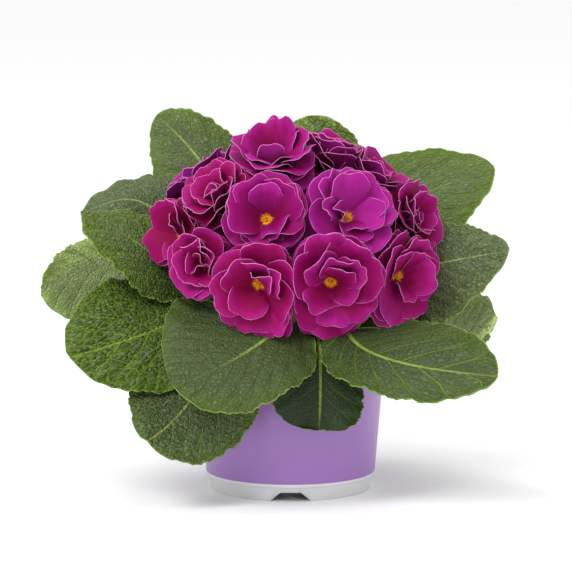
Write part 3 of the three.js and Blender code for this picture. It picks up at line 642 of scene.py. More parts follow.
def petal_finish():
    finish = Finish("petal", 0.65, Specular_IOR_Level=0.1)
    place = finish.place_on_sheet()
    rim = finish.value("rim_mm")
    foot = finish.value("foot_mm")
    reach = finish.value("reach")
    tint = finish.value("tint")
    tone = finish.value("tone")
    under = finish.value("under")
    mottle = finish.noise(place, 9, 3)
    stretched = finish.node("ShaderNodeMapping", {}, Vector=place, Scale=(44, 2.2, 1))
    streak = finish.noise(stretched, 1.0, 2)
    deep = finish.mix(tint, rgb(122, 0, 48), rgb(108, 0, 66))
    body = finish.mix(tint, rgb(138, 0, 70), rgb(128, 2, 104))
    bright = finish.mix(tint, rgb(158, 18, 106), rgb(154, 32, 142))
    ground = finish.mix(reach.between(0.25, 1.05), deep, body)
    light = (1 - rim.between(0.3, 6)) * reach.between(0.35, 0.8)
    ground = finish.mix(light * 0.6 + (tone - 0.5) * 0.7 + (mottle - 0.5) * 0.7, ground, bright)
    ground = finish.mix(streak.between(0.45, 0.75) * 0.2, ground, deep)
    ground = finish.mix(under * 0.5, ground, finish.mix(tint, rgb(134, 32, 92), rgb(156, 48, 160)))
    eye = 1 - (foot + (streak - 0.5) * 7).between(2.0, 4.0)
    ground = finish.mix(eye * (1 - under), ground, rgb(255, 178, 0))
    edge = 1 - (rim + (finish.noise(place, 30, 1) - 0.5) * 0.3).between(0.05, 0.27)
    ground = finish.mix(edge * (0.25 + mottle * 0.9), ground, rgb(230, 150, 200))
    finish.colour(ground)
    finish.bump(streak * 0.6 + mottle * 0.4, 0.0004, 0.5)
    return finish.material


def eye_finish():
    finish = Finish("eye", 0.6)
    place = finish.place_on_object()
    grain = finish.noise(place, 900, 2)
    anther = finish.value("anther")
    throat = finish.mix(grain.between(0.4, 0.65), rgb(140, 112, 6), rgb(206, 152, 14))
    dust = finish.mix(grain.between(0.35, 0.65), rgb(240, 156, 4), rgb(252, 210, 50))
    ground = finish.mix(anther.between(0.2, 0.45), throat, dust)
    finish.colour(ground)
    finish.bump(grain, 0.0004, 0.6)
    return finish.material


def stalk_finish():
    finish = Finish("stalk", 0.55, Sheen_Weight=0.3, Sheen_Roughness=0.5)
    place = finish.place_on_object()
    streak = finish.noise(finish.node("ShaderNodeMapping", {}, Vector=place, Scale=(900, 900, 120)), 1.0, 2)
    flush = finish.noise(place, 60, 2)
    ground = finish.mix(streak, rgb(96, 122, 44), rgb(150, 172, 84))
    ground = finish.mix(flush.between(0.5, 0.75) * 0.5, ground, rgb(128, 92, 60))
    finish.colour(ground)
    finish.bump(streak, 0.0003, 0.5)
    return finish.material


def soil_finish():
    finish = Finish("compost", 0.95, Specular_IOR_Level=0.2)
    place = finish.place_on_object()
    grain = finish.noise(place, 500, 5, 0.7)
    lump = finish.noise(place, 160, 3)
    ground = finish.mix(grain.between(0.35, 0.7), rgb(26, 18, 12), rgb(84, 62, 44))
    ground = finish.mix(lump.between(0.55, 0.8) * 0.5, ground, rgb(104, 84, 62))
    finish.colour(ground)
    finish.bump(grain * 0.6 + lump * 0.6, 0.002, 1.0)
    return finish.material


def pot_finish():
    finish = Finish("grower_pot", 0.36, Specular_IOR_Level=0.5, Coat_Weight=0.15, Coat_Roughness=0.25)
    place = finish.place_on_object()
    split = finish.tree.nodes.new("ShaderNodeSeparateXYZ")
    finish.feed(split.inputs[0], place)
    height = Value(finish, split.outputs["Z"])
    outside = finish.value("outside")
    cloud = finish.noise(place, 30, 3)
    above_foot = height.between((PRINT_FOOT - PRINT_BLUR) * MM, (PRINT_FOOT + PRINT_BLUR) * MM)
    above_top = height.between((PRINT_TOP - PRINT_BLUR) * MM, (PRINT_TOP + PRINT_BLUR) * MM)
    printed = above_foot * (1 - above_top) * outside
    band = finish.mix(cloud, rgb(140, 98, 170), rgb(152, 110, 180))
    bare = finish.mix(cloud, rgb(206, 206, 210), rgb(218, 218, 220))
    finish.colour(finish.mix(printed, bare, band))
    scuff = finish.noise(place, 260, 3)
    finish.feed(finish.surface.inputs["Roughness"], 0.3 + scuff * 0.16)
    finish.bump(finish.noise(place, 700, 2) + printed * 0.5, 0.00006, 0.5)
    return finish.material


LEAF = leaf_finish()
PETAL = petal_finish()
EYE = eye_finish()
STALK = stalk_finish()
SOIL = soil_finish()
POT = pot_finish()


# ---- Repeated detail, as node trees ----
class Tree:
    """A geometry node tree with named inputs."""

    def __init__(self, name):
        self.group = bpy.data.node_groups.new(name, "GeometryNodeTree")
        self.group.interface.new_socket("Geometry", in_out="INPUT", socket_type="NodeSocketGeometry")
        self.group.interface.new_socket("Geometry", in_out="OUTPUT", socket_type="NodeSocketGeometry")
        self.start = self.group.nodes.new("NodeGroupInput")
        self.end = self.group.nodes.new("NodeGroupOutput")

    def input(self, name, kind, default=None):
        item = self.group.interface.new_socket(name, in_out="INPUT", socket_type="NodeSocket" + kind)
        if default is not None:
            item.default_value = default
        return self.start.outputs[name]

    def node(self, kind, settings=None, **inputs):
        """Any node: its settings, then its sockets by name, or by number as i0, i1 and so on."""
        node = self.group.nodes.new(kind)
        for key, setting in (settings or {}).items():
            setattr(node, key, setting)
        for key, value in inputs.items():
            by_number = key[0] == "i" and key[1:].isdigit()
            socket = node.inputs[int(key[1:]) if by_number else key.replace("_", " ")]
            for each in value if isinstance(value, list) else [value]:
                if isinstance(each, bpy.types.NodeSocket):
                    self.group.links.new(each, socket)
                else:
                    socket.default_value = each
        return node

    def finish(self, geometry, material):
        """Ends the tree: its instances made real, in one material."""
        real = self.node("GeometryNodeRealizeInstances", Geometry=geometry)
        coated = self.node("GeometryNodeSetMaterial", Geometry=real.outputs[0], Material=material)
        smooth_faces = self.node("GeometryNodeSetShadeSmooth", Geometry=coated.outputs[0])
        self.group.links.new(smooth_faces.outputs[0], self.end.inputs[0])


def grow(name, base, tree, **settings):
    """The mesh that a node tree makes from an object, as a new object. The base object is used up."""
    modifier = base.modifiers.new(tree.group.name, "NODES")
    modifier.node_group = tree.group
    for item in tree.group.interface.items_tree:
        if item.item_type == "SOCKET" and item.in_out == "INPUT" and item.name in settings:
            modifier[item.identifier] = settings[item.name]
    view = bpy.context.evaluated_depsgraph_get()
    mesh = bpy.data.meshes.new_from_object(base.evaluated_get(view), depsgraph=view)
    base.modifiers.remove(modifier)
    bpy.data.objects.remove(base)
    mesh.name = name
    return linked(name, mesh)


# ---- Leaves ----
class Midrib:
    """The cubic that passes a leaf's root, its two path points and its tip at even steps."""

    def __init__(self, leaf):
        reach = CROWN_RADIUS + ROOT_GAP
        azimuth = math.radians(leaf["azimuth"])
        start = np.array([reach * math.cos(azimuth), reach * math.sin(azimuth), leaf["height"]])
        first, second, end = (np.array(point, float) for point in leaf["path"])
        leave = (-5 * start + 18 * first - 9 * second + 2 * end) / 6
        arrive = (2 * start - 9 * first + 18 * second - 5 * end) / 6
        self.points = (start, leave, arrive, end)
        self.roll = leaf["roll"]

    def at(self, t):
        return cubic(*self.points, t[..., None])

    def directions(self, t):
        a, b, c, d = self.points
        s = t[..., None]
        tangent = unit((b - a) * (1 - s) ** 2 + 2 * (c - b) * s * (1 - s) + (d - c) * s ** 2)
        level = unit(np.cross(tangent, UP))
        roll = np.radians(lerp(self.roll[0], self.roll[1], t))[..., None]
        side = level * np.cos(roll) + np.cross(tangent, level) * np.sin(roll)
        return side, np.cross(side, tangent)


def blade_half_width(leaf, across, along):
    rise, fall = 0.55, 0.48
    broadest = rise / (rise + fall)
    along = np.clip(along, 0, 1)
    shape = (along / broadest) ** rise * ((1 - along) / (1 - broadest)) ** fall
    half = np.where(across < 0, leaf["halves"][0], leaf["halves"][1])
    return half * shape + PETIOLE_HALF_WIDTH * (1 - along) ** 6


def leaf_surface(leaf, midrib, across, row, number):
    """Points of a blade's middle surface, and what its finish needs to know at each of them."""
    margin = row + VEIN_SWEEP * row * (1 - row)
    along = row + (margin - row) * np.abs(across) ** 1.2
    place = leaf["blade"] + (1 - leaf["blade"]) * along
    side, up = midrib.directions(place)
    half = blade_half_width(leaf, across, margin)
    walk = margin * BLADE_LENGTH
    tooth = TOOTH_DEPTH * np.sin(2 * math.pi * walk / TOOTH_SPACING + 2 * np.sin(walk * 0.31 + number))
    tooth = tooth + TOOTH_DEPTH * np.sin(walk * 0.9 + number)
    edge = smooth(0.8, 1, np.abs(across))
    width = half * across + np.sign(across) * tooth * edge * smooth(0, 8, half)
    curl = math.radians(leaf["bend"]) / max(leaf["halves"])
    out = np.sin(width * curl) / curl
    drop = (1 - np.cos(width * curl)) / curl
    wave = leaf["wave"] * across ** 2 * np.sin(4 * math.pi * margin + 2 * across + leaf["azimuth"])
    flutter = 0.9 * np.abs(across) ** 5 * np.sin(2 * math.pi * walk / 11 + 3 * number) * smooth(0, 12, half)

    distance = np.abs(width)
    vein = VEIN_PAIRS * (along - VEIN_SLANT * distance / BLADE_LENGTH) + 0.5
    vein = vein + VEIN_STAGGER * np.sign(across)
    vein = vein + 0.1 * np.sin(0.21 * width + 2.1 * number) + 0.08 * np.sin(9 * row + number)
    vein = vein - 0.8 * (distance / 30) ** 2
    fork = VEIN_FORK * smooth(0.42, 1, np.abs(across))
    from_vein = np.abs(np.abs(vein - np.round(vein)) - fork)
    puff = np.sin(math.pi * vein) ** 2 * np.sin(math.pi * np.abs(across))
    bed = vein * VEIN_STEP
    blister = cells(distance / (BLISTER_SIZE * 1.5), bed / BLISTER_SIZE, number + 5 * np.sign(across))
    blister = blister * smooth(0, 0.1, from_vein) * smooth(0.4, 2.5, distance)
    patch = 1 + 0.4 * np.sin(0.1 * walk + 1.3 * number) * np.sin(0.12 * width + number)
    from_margin = half * (1 - np.abs(across))
    quilt = BLISTER_HEIGHT * leaf["puff"] * patch * (blister - 0.4) * smooth(0, 4, from_margin)
    rib_line = -0.6 * np.exp(-(width / 1.4) ** 2) * (1 - row)
    lift = wave + flutter + 0.9 * leaf["puff"] * puff + quilt + rib_line - drop
    points = midrib.at(place) + side * out[..., None] + up * lift[..., None]
    about = {"across_mm": width, "row": row, "share": np.abs(across), "margin_mm": from_margin,
             "vein": vein, "blister": blister}
    return points, about, along * BLADE_LENGTH


def add_leaf(parts, leaf, number, column_count, row_count):
    """Adds a whole leaf, its petiole and its blade, to a collection."""
    midrib = Midrib(leaf)
    share = np.linspace(-1, 1, column_count)
    columns = np.sign(share) * (1 - (1 - np.abs(share)) ** 1.1)
    rows = np.concatenate([np.linspace(0, 0.94, row_count), np.linspace(0.945, 1, 14)])
    across, row = np.meshgrid(columns, rows)
    middle, about, walk = leaf_surface(leaf, midrib, across, row, number)
    width, margin = about["across_mm"], about["margin_mm"]
    middle[-1] = middle[-1].mean(axis=0)
    normal = grid_normals(middle)
    normal[-1] = normal[-2]
    rib = 1.6 * np.exp(-(width / 1.5) ** 2) * (1 - row) ** 0.8
    vein = about["vein"]
    side_rib = 0.45 * np.exp(-((vein - np.round(vein)) * VEIN_STEP / 0.8) ** 2)
    below = LEAF_THICKNESS / 2 + rib + side_rib * smooth(0, 6, margin)
    top = middle + normal * LEAF_THICKNESS / 2
    bottom = middle - normal * below[..., None]

    foot_rows = np.linspace(0, 0.97, 16)
    foot_across, foot = np.meshgrid(columns, foot_rows)
    place = leaf["blade"] * foot
    side, up = midrib.directions(place)
    centre = midrib.at(place) + side * (foot_across * PETIOLE_HALF_WIDTH)[..., None]
    channel = -0.5 * (1 - foot_across ** 2)
    keel = -PETIOLE_DEPTH * np.sqrt(1 - 0.8 * foot_across ** 2) * lerp(1, 0.75, foot)
    top = np.concatenate([centre + up * channel[..., None], top])
    bottom = np.concatenate([centre + up * keel[..., None], bottom])

    points, faces = shell(top, bottom)

    def twice(petiole, blade):
        return np.tile(np.concatenate([petiole.ravel(), blade.ravel()]), 2)

    flat = np.zeros_like(foot)
    on_petiole = {"across_mm": foot_across * 0.3, "row": flat - 0.01, "share": flat, "margin_mm": flat + 9,
                  "vein": flat + 0.5, "blister": flat + 0.6}
    values = {key: twice(on_petiole[key], about[key]) for key in about}
    for key in ("tone", "fresh", "veins", "puff"):
        values[key] = np.full(len(points), leaf[key])
    values["under"] = np.repeat([0.0, 1.0], len(points) // 2)
    uv = np.stack([twice(foot * 30, walk + 30), twice(foot_across * 2, width)], -1) / 100 + number * 0.37
    parts.add(points, faces, values, uv)


def leaf_piece(leaf, number):
    parts = Parts()
    grid = BLISTERED_GRID if leaf["puff"] > BLISTERED_FROM else SMOOTH_GRID
    if leaf["name"] in LEAVES_BEHIND:
        grid = BEHIND_GRID
    add_leaf(parts, leaf, number, *grid)
    piece = parts.make("dressed_" + leaf["name"], LEAF)
    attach(piece, "root")
    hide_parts(leaf["name"])
    return piece


def young_leaves_piece():
    """The small leaves that stand round the crown under the blooms."""
    parts = Parts()
    for number, (azimuth, reach, rise, side, roll) in enumerate(YOUNG_LEAVES):
        angle = math.radians(azimuth)
        out = np.array([math.cos(angle), math.sin(angle), 0])
        aside = np.array([-math.sin(angle), math.cos(angle), 0]) * side
        path = []
        for share, lift in YOUNG_LEAF_RUN:
            height = UP * (YOUNG_LEAF_LEVEL + rise * lift)
            path.append(out * (CROWN_RADIUS + reach * share) + aside * share ** 2 + height)
        half = reach * YOUNG_LEAF_HALF
        leaf = dict(YOUNG_LEAF, azimuth=azimuth, path=path, halves=(half, half), roll=(roll, roll))
        add_leaf(parts, leaf, FIRST_YOUNG_NUMBER + number, *YOUNG_GRID)
    piece = parts.make("young_leaves", LEAF)
    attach(piece, "root")
    return piece


# ---- Blooms ----
def turn_to_face(points, at, face):
    """Turns points that stand on their own origin along +Z to stand at a place and face a direction."""
    turn = Vector((0, 0, 1)).rotation_difference(Vector(face)).to_matrix()
    return points @ np.array(turn).T + at


def petals_of(bloom, index):
    """Every petal of a bloom, each a little off its even place, and a skirt of six petals below them."""
    size = bloom["radius"] if not bloom["petals"] else 1
    petals = []
    skirt = [(6, 15, 84, 112, bloom["radius"] / size, bloom["radius"] / size, -6)]
    rows = (bloom["petals"] or USUAL_PETALS) + skirt
    for row, (count, clock, start, end, length, width, cup) in enumerate(rows):
        loose = 0.25 if count > 1 else 0
        for i in range(count):
            chance = [scatter(index + 1, 10 * row + i + 0.37 * salt) - 0.5 for salt in range(10)]
            petals.append(dict(
                clock=math.radians(clock + 360 * (i + loose * chance[1]) / count),
                start=math.radians(start + 6 * chance[2]),
                end=math.radians(end + 10 * chance[3]),
                length=size * length * (1 + 0.08 * chance[4]),
                width=size * width,
                cup=math.radians(cup),
                twist=math.radians(24 * chance[5]),
                ruffle=1.5 + 1.3 * chance[6],
                phase=6 * chance[7],
                frill=6 * chance[8],
                tone=0.5 + chance[9],
            ))
    return petals


def petal_surface(petal, bloom, across, along):
    """Points of a petal's middle surface, with how far out each is and how far from the rim."""
    length, cheek = petal["length"], petal["width"] / 2
    middle = length - cheek
    fan = math.asin(min(1, cheek / middle)) if middle > 0 else math.pi
    fan = min(fan, math.radians(72))
    angle = across * fan
    rim = middle * np.cos(angle) + np.sqrt(np.maximum(cheek ** 2 - (middle * np.sin(angle)) ** 2, 0))
    rim = rim * (1 - 0.075 * np.exp(-((across / 0.15) ** 2)))
    frill = petal["frill"]
    rim = rim * (1 + 0.028 * np.sin(8 * across + frill) + 0.014 * np.sin(17 * across + 2 * frill))
    walk = along * rim
    foot_width = lerp(0.6, 1, smooth(0, 0.45 * length, walk))
    sideways = walk * np.sin(angle) * foot_width
    outward = walk * np.cos(angle)
    start, end = petal["start"], petal["end"]
    arch = end - start if abs(end - start) > 0.02 else 0.02
    lean = start + arch * outward / length
    out = 0.9 + length * (math.cos(start) - np.cos(lean)) / arch
    height = length * (np.sin(lean) - math.sin(start)) / arch - 1.5
    bend = petal["cup"] / cheek * lerp(1.2, 0.7, along) + 1e-6
    aside = np.sin(bend * sideways) / bend
    lift = (1 - np.cos(bend * sideways)) / bend
    lift = lift + petal["ruffle"] * along ** 3 * np.sin(5.5 * across + petal["phase"])
    lift = lift + 0.4 * along ** 7 * np.sin(14 * across + frill) - 0.9 * along ** 6
    lift = lift + 0.5 * along * np.exp(-((across / 0.3) ** 2)) * (1 - along)
    twist = petal["twist"] * along
    turned_aside = aside * np.cos(twist) - lift * np.sin(twist)
    lift = aside * np.sin(twist) + lift * np.cos(twist)

    face = bloom["face"]
    rise = unit(UP - face[2] * face)
    right = np.cross(rise, face)
    radial = rise * math.cos(petal["clock"]) + right * math.sin(petal["clock"])
    tangent = right * math.cos(petal["clock"]) - rise * math.sin(petal["clock"])
    out = out - lift * np.cos(lean)
    height = height + lift * np.sin(lean)
    points = bloom["at"] + out[..., None] * radial + height[..., None] * face
    points = points + turned_aside[..., None] * tangent
    to_rim = np.minimum(rim - walk, walk * (fan - np.abs(angle)) + 0.2 * (1 - along))
    return points, walk, to_rim


def keep_in_wedge(points, own, index):
    """Holds a bloom's points inside its own wedge of the dome; what is held back stands up instead."""
    axis = unit(own["at"] - DOME_HEART)
    offset = points - DOME_HEART
    depth = offset @ axis
    lateral = offset - depth[:, None] * axis
    depth = np.maximum(depth, 1)
    crowding = np.ones(len(points))
    for other_index, other in enumerate(BLOOMS):
        if other_index == index:
            continue
        other_axis = unit(other["at"] - DOME_HEART)
        between = math.acos(np.clip(axis @ other_axis, -1, 1))
        wall = between * own["radius"] / (own["radius"] + other["radius"])
        if wall >= WIDEST_WEDGE:
            continue
        towards = unit(other_axis - (other_axis @ axis) * axis)
        room = WEDGE_ROOM * (depth * math.tan(wall) - GAP / math.cos(wall))
        crowding += np.maximum(lateral @ towards / room, 0) ** WEDGE_SOFTNESS
    held = crowding ** (-1 / WEDGE_SOFTNESS)
    lost = np.linalg.norm(lateral, axis=1) * (1 - held)
    lift = MOST_LIFT * np.tanh(0.5 * lost / MOST_LIFT)
    return points + lateral * (held - 1)[:, None] + lift[:, None] * axis


def bloom_piece(bloom, index):
    column_count, row_count = PETAL_GRID if index < BLOOMS_IN_FRONT else PETAL_BEHIND_GRID
    share = np.linspace(-1, 1, column_count)
    columns = np.sign(share) * (1 - (1 - np.abs(share)) ** 1.2)
    rows = 1 - (1 - np.linspace(0, 1, row_count)) ** 1.35
    rows[0] = 0.02
    across, along = np.meshgrid(columns, rows)
    parts = Parts()
    for petal in petals_of(bloom, index):
        points, walk, to_rim = petal_surface(petal, bloom, across, along)
        middle = keep_in_wedge(points.reshape(-1, 3), bloom, index).reshape(points.shape)
        normal = grid_normals(middle)
        half = PETAL_THICKNESS / 2 * lerp(1, 0.6, along)[..., None]
        points, faces = shell(middle + normal * half, middle - normal * half)
        count = len(points)
        values = {
            "rim_mm": np.tile(to_rim.ravel(), 2),
            "foot_mm": np.tile(walk.ravel(), 2),
            "reach": np.tile((walk / petal["length"]).ravel(), 2),
            "tint": np.full(count, bloom["tint"]),
            # A petal's tone is its own random lightness plus its bloom's painted light and shade.
            "tone": np.full(count, petal["tone"] + bloom.get("painted_light_and_shade", 0)),
            "under": np.repeat([0.0, 1.0], count // 2),
        }
        uv = np.tile(np.stack([across.ravel(), along.ravel()], -1), (2, 1)) * 0.5 + petal["phase"]
        parts.add(points, faces, values, uv)
    piece = parts.make(f"dressed_bloom_{index + 1:02d}", PETAL)
    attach(piece, "root")
    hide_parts(f"bloom_{index + 1:02d}")
    return piece


def ellipsoid(centre, radii, sides=10, rings=6):
    """A closed round lump."""
    polar = np.linspace(0, math.pi, rings + 1)
    profile = np.stack([np.sin(polar), -np.cos(polar)], -1)
    points, faces = turned(profile, sides)
    return points * radii + centre, faces


def eyes_piece():
    """The throat of every bloom, with its anthers."""
    cup_profile = [(0, -THROAT_DEPTH), (1.4, -THROAT_DEPTH), (1.9, -0.7), (1.7, -0.3), (1.1, -1.5), (0, -2)]
    parts = Parts()
    for index, bloom in enumerate(BLOOMS):
        cup, faces = turned(cup_profile, 20)
        parts.add(turn_to_face(cup, bloom["at"], bloom["face"]), faces, {"anther": 0.0})
        for i in range(ANTHER_COUNT):
            angle = 2 * math.pi * (i + 0.5 * scatter(index + 3, i)) / (ANTHER_COUNT - 1)
            reach = 0.5 + 1.0 * scatter(index + 4, i)
            rise = -0.4 + 2.2 * scatter(index + 5, i)
            centre = np.array([reach * math.cos(angle), reach * math.sin(angle), rise])
            lump, faces = ellipsoid(centre, np.array([0.42, 0.36, 0.95]), 8, 5)
            ripe = 0.5 + 0.5 * scatter(index + 6, i)
            parts.add(turn_to_face(lump, bloom["at"], bloom["face"]), faces, {"anther": ripe})
    piece = parts.make("bloom_eyes", EYE)
    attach(piece, "root")
    return piece


# ---- Crown, stalks and calyxes ----
def stalk_points(bloom, count):
    at, face = bloom["at"], bloom["face"]
    azimuth = math.atan2(at[1], at[0])
    foot = np.array([STALK_CIRCLE * math.cos(azimuth), STALK_CIRCLE * math.sin(azimuth), CROWN_TOP - 6])
    end = at - face * (THROAT_DEPTH + GAP + CALYX_LENGTH / 2)
    lean = end - face * np.linalg.norm(end - foot) * 0.35
    rise = foot + (end - foot) * 0.3 + np.array([0, 0, 4])
    return cubic(foot, rise, lean, end, np.linspace(0, 1, count)[:, None])


def stalk_tree():
    tree = Tree("stalks")
    radius = tree.input("Stalk Radius", "Float")
    sides = tree.input("Sides", "Int")
    lines = tree.node("GeometryNodeMeshToCurve", Mesh=tree.start.outputs[0])
    ring = tree.node("GeometryNodeCurvePrimitiveCircle", Radius=radius, Resolution=sides)
    tubes = tree.node("GeometryNodeCurveToMesh", Curve=lines.outputs[0], Profile_Curve=ring.outputs[0],
                      Fill_Caps=True)
    tree.finish(tubes.outputs[0], STALK)
    return tree


def stalks_piece():
    points = []
    lines = []
    for bloom in BLOOMS:
        first = len(points)
        points += list(stalk_points(bloom, STALK_POINTS))
        lines += [(first + i, first + i + 1) for i in range(STALK_POINTS - 1)]
    mesh = bpy.data.meshes.new("stalk_lines")
    mesh.from_pydata(((np.array(points) + POT_AXIS) * MM).tolist(), lines, [])
    base = linked("stalk_lines", mesh)
    sizes = {"Stalk Radius": STALK_RADIUS * MM, "Sides": 10}
    stalks = grow("crown_stalks_and_calyxes", base, stalk_tree(), **sizes)

    parts = Parts()
    crown_profile = [
        (0, CROWN_HOLE_FLOOR + GAP), (7, CROWN_HOLE_FLOOR + GAP), (11.5, CROWN_HOLE_FLOOR + 6),
        (11.5, SOIL_TOP + GAP), (14, SOIL_TOP + 1), (14, CROWN_TOP - 7), (13.2, CROWN_TOP - 4),
        (10.8, CROWN_TOP - 1.4), (6, CROWN_TOP - 0.4), (0, CROWN_TOP),
    ]
    crown, faces = turned(crown_profile, 48, 0.4)
    parts.add(crown, faces, {})
    for bloom in BLOOMS:
        calyx, faces = calyx_shape()
        parts.add(turn_to_face(calyx, bloom["at"], bloom["face"]), faces, {})
    body = parts.make("crown_body", STALK)
    join(stalks, body)
    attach(stalks, "root")
    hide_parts("crown_and_stalks")
    return stalks


def calyx_shape():
    """A ribbed tube that ends in five pointed lobes, below the bloom's throat."""
    sides = 40
    top = -THROAT_DEPTH - GAP
    angle = around(sides)
    rib = 1 + 0.09 * np.cos(5 * angle)
    lobe = np.abs(np.cos(2.5 * angle)) ** 1.3
    rows = []
    for share in np.linspace(0, 1, 9):
        radius = lerp(STALK_RADIUS, THROAT_RADIUS, share ** 0.8) * rib
        height = top - CALYX_LENGTH + share * (CALYX_LENGTH - 2.6) + 2.4 * lobe * share ** 3
        rows.append(round_points(radius, angle, height))
    inner = rows[-1] * np.array([0.86, 0.86, 1]) - np.array([0, 0, 0.3])
    floor = round_points(2.0, angle, top - 3.4)
    rings = rows + [inner, floor]
    points = np.concatenate(rings + [[[0, 0, top - CALYX_LENGTH]], [[0, 0, top - 3.4]]])
    index = np.arange(len(rings) * sides).reshape(-1, sides)
    return points, closed_rings(index, len(points) - 2, len(points) - 1)


def join(target, other):
    """Adds another object's mesh to a target object, and drops the other object."""
    with bpy.context.temp_override(active_object=target, selected_editable_objects=[target, other]):
        bpy.ops.object.join()


# ---- Hairs ----
def hair_finish():
    finish = Finish("fine_hair", 0.5, Specular_IOR_Level=0.3)
    place = finish.place_on_object()
    finish.colour(finish.mix(finish.noise(place, 200, 1), rgb(186, 204, 140), rgb(222, 230, 196)))
    return finish.material


def hair_tree(material):
    tree = Tree("hairs")
    density = tree.input("Hairs Per Square Metre", "Float")
    length = tree.input("Hair Length", "Float")
    radius = tree.input("Hair Radius", "Float")
    seed = tree.input("Seed", "Int")
    spread = tree.node("GeometryNodeDistributePointsOnFaces", Mesh=tree.start.outputs[0],
                       Density=density, Seed=seed)
    hair = tree.node("GeometryNodeMeshCone", Vertices=3, Radius_Bottom=radius, Depth=length)
    size = tree.node("FunctionNodeRandomValue", {"data_type": "FLOAT"}, i2=0.5, i3=1.2, Seed=seed)
    placed = tree.node("GeometryNodeInstanceOnPoints", Points=spread.outputs["Points"],
                       Instance=hair.outputs[0], Rotation=spread.outputs["Rotation"], Scale=size.outputs[1])
    tree.finish(placed.outputs[0], material)
    return tree


def skin_of(objects, wanted):
    """A bare copy of objects' faces: those whose points all have the wanted attribute, or all faces."""
    points, faces, count = [], [], 0
    for obj in objects:
        mesh = obj.data
        places = np.empty(len(mesh.vertices) * 3, np.float32)
        mesh.vertices.foreach_get("co", places)
        keep = np.ones(len(mesh.vertices), bool)
        if wanted:
            marks = np.empty(len(mesh.vertices), np.float32)
            mesh.attributes[wanted].data.foreach_get("value", marks)
            keep = marks > 0.5
        points.append(places.reshape(-1, 3))
        faces += [[v + count for v in face.vertices] for face in mesh.polygons
                  if all(keep[v] for v in face.vertices)]
        count += len(mesh.vertices)
    mesh = bpy.data.meshes.new("skin")
    mesh.from_pydata(np.concatenate(points).tolist(), [], faces)
    mesh.update()
    return linked("skin", mesh)


def hairs_piece(leaves, stalks):
    """Fine hairs on the stalks and on the undersides of the leaves."""
    material = hair_finish()
    sizes = {"Hair Length": 0.0009, "Hair Radius": 0.00004, "Seed": 3}
    hairs = grow("fine_hairs", skin_of([stalks], None), hair_tree(material), **sizes,
                 **{"Hairs Per Square Metre": 300000.0})
    on_leaves = grow("leaf_hairs", skin_of(leaves, "under"), hair_tree(material), **sizes,
                     **{"Hairs Per Square Metre": 90000.0})
    join(hairs, on_leaves)
    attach(hairs, "root")
    return hairs


# ---- Soil ----
def crumb_tree():
    tree = Tree("crumbs")
    density = tree.input("Crumbs Per Square Metre", "Float")
    size = tree.input("Crumb Size", "Float")
    seed = tree.input("Seed", "Int")
    spread = tree.node("GeometryNodeDistributePointsOnFaces", Mesh=tree.start.outputs[0],
                       Density=density, Seed=seed)
    crumb = tree.node("GeometryNodeMeshIcoSphere", Radius=size, Subdivisions=1)
    vector = {"data_type": "FLOAT_VECTOR"}
    turn = tree.node("FunctionNodeRandomValue", vector, i0=(0, 0, 0), i1=(6.28, 6.28, 6.28), Seed=seed)
    grow_by = tree.node("FunctionNodeRandomValue", vector, i0=(0.3, 0.3, 0.3), i1=(1.5, 1.3, 1), Seed=seed)
    placed = tree.node("GeometryNodeInstanceOnPoints", Points=spread.outputs["Points"],
                       Instance=crumb.outputs[0], Rotation=turn.outputs[0], Scale=grow_by.outputs[0])
    tree.finish(placed.outputs[0], SOIL)
    return tree


def soil_piece():
    edge = SOIL_TOP - SOIL_EDGE_DROP
    clear = POT_WALL + GAP + 0.2
    body_foot = FOOT_HEIGHT + FOOT_CHAMFER
    floor = FLOOR_UNDERSIDE + POT_WALL + GAP
    edge_radius = wall_radius(edge) - clear
    radii = np.linspace(edge_radius, CROWN_HOLE_RADIUS, 14)
    top = [(r, lerp(edge, SOIL_TOP, smooth(edge_radius, SOIL_RISE_RADIUS, r)) - 0.1) for r in radii]
    profile = [(0, floor), (39, floor), (BODY_FOOT_RADIUS - clear - 0.2, body_foot + 1), *top,
               (CROWN_HOLE_RADIUS, CROWN_HOLE_FLOOR), (0, CROWN_HOLE_FLOOR)]
    points, faces = turned(profile, 96)
    bed = make_object("compost_bed", points, faces, SOIL)
    points, faces = disc_ring(CROWN_HOLE_RADIUS + 1.5, edge_radius - 1.5, edge, SOIL_TOP)
    ground = make_object("crumb_ground", points, faces, SOIL)
    sizes = {"Crumbs Per Square Metre": 320000.0, "Crumb Size": 0.0013, "Seed": 7}
    crumbs = grow("compost", ground, crumb_tree(), **sizes)
    join(crumbs, bed)
    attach(crumbs, "root")
    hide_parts("soil")
    return crumbs


def disc_ring(inner, outer, edge, top, sides=64, rings=8):
    """A flat ring of ground that rises from its edge to its middle."""
    angle = around(sides)
    radii = np.linspace(outer, inner, rings)
    heights = lerp(edge, top, smooth(outer, SOIL_RISE_RADIUS, radii)) - 0.4
    points = round_points(radii[:, None], angle, heights[:, None]).reshape(-1, 3)
    return points, bands(np.arange(rings * sides).reshape(rings, sides))


# ---- Pot ----
def wall_radius(height):
    return BODY_FOOT_RADIUS + (height - FOOT_HEIGHT - FOOT_CHAMFER) * WALL_TAPER


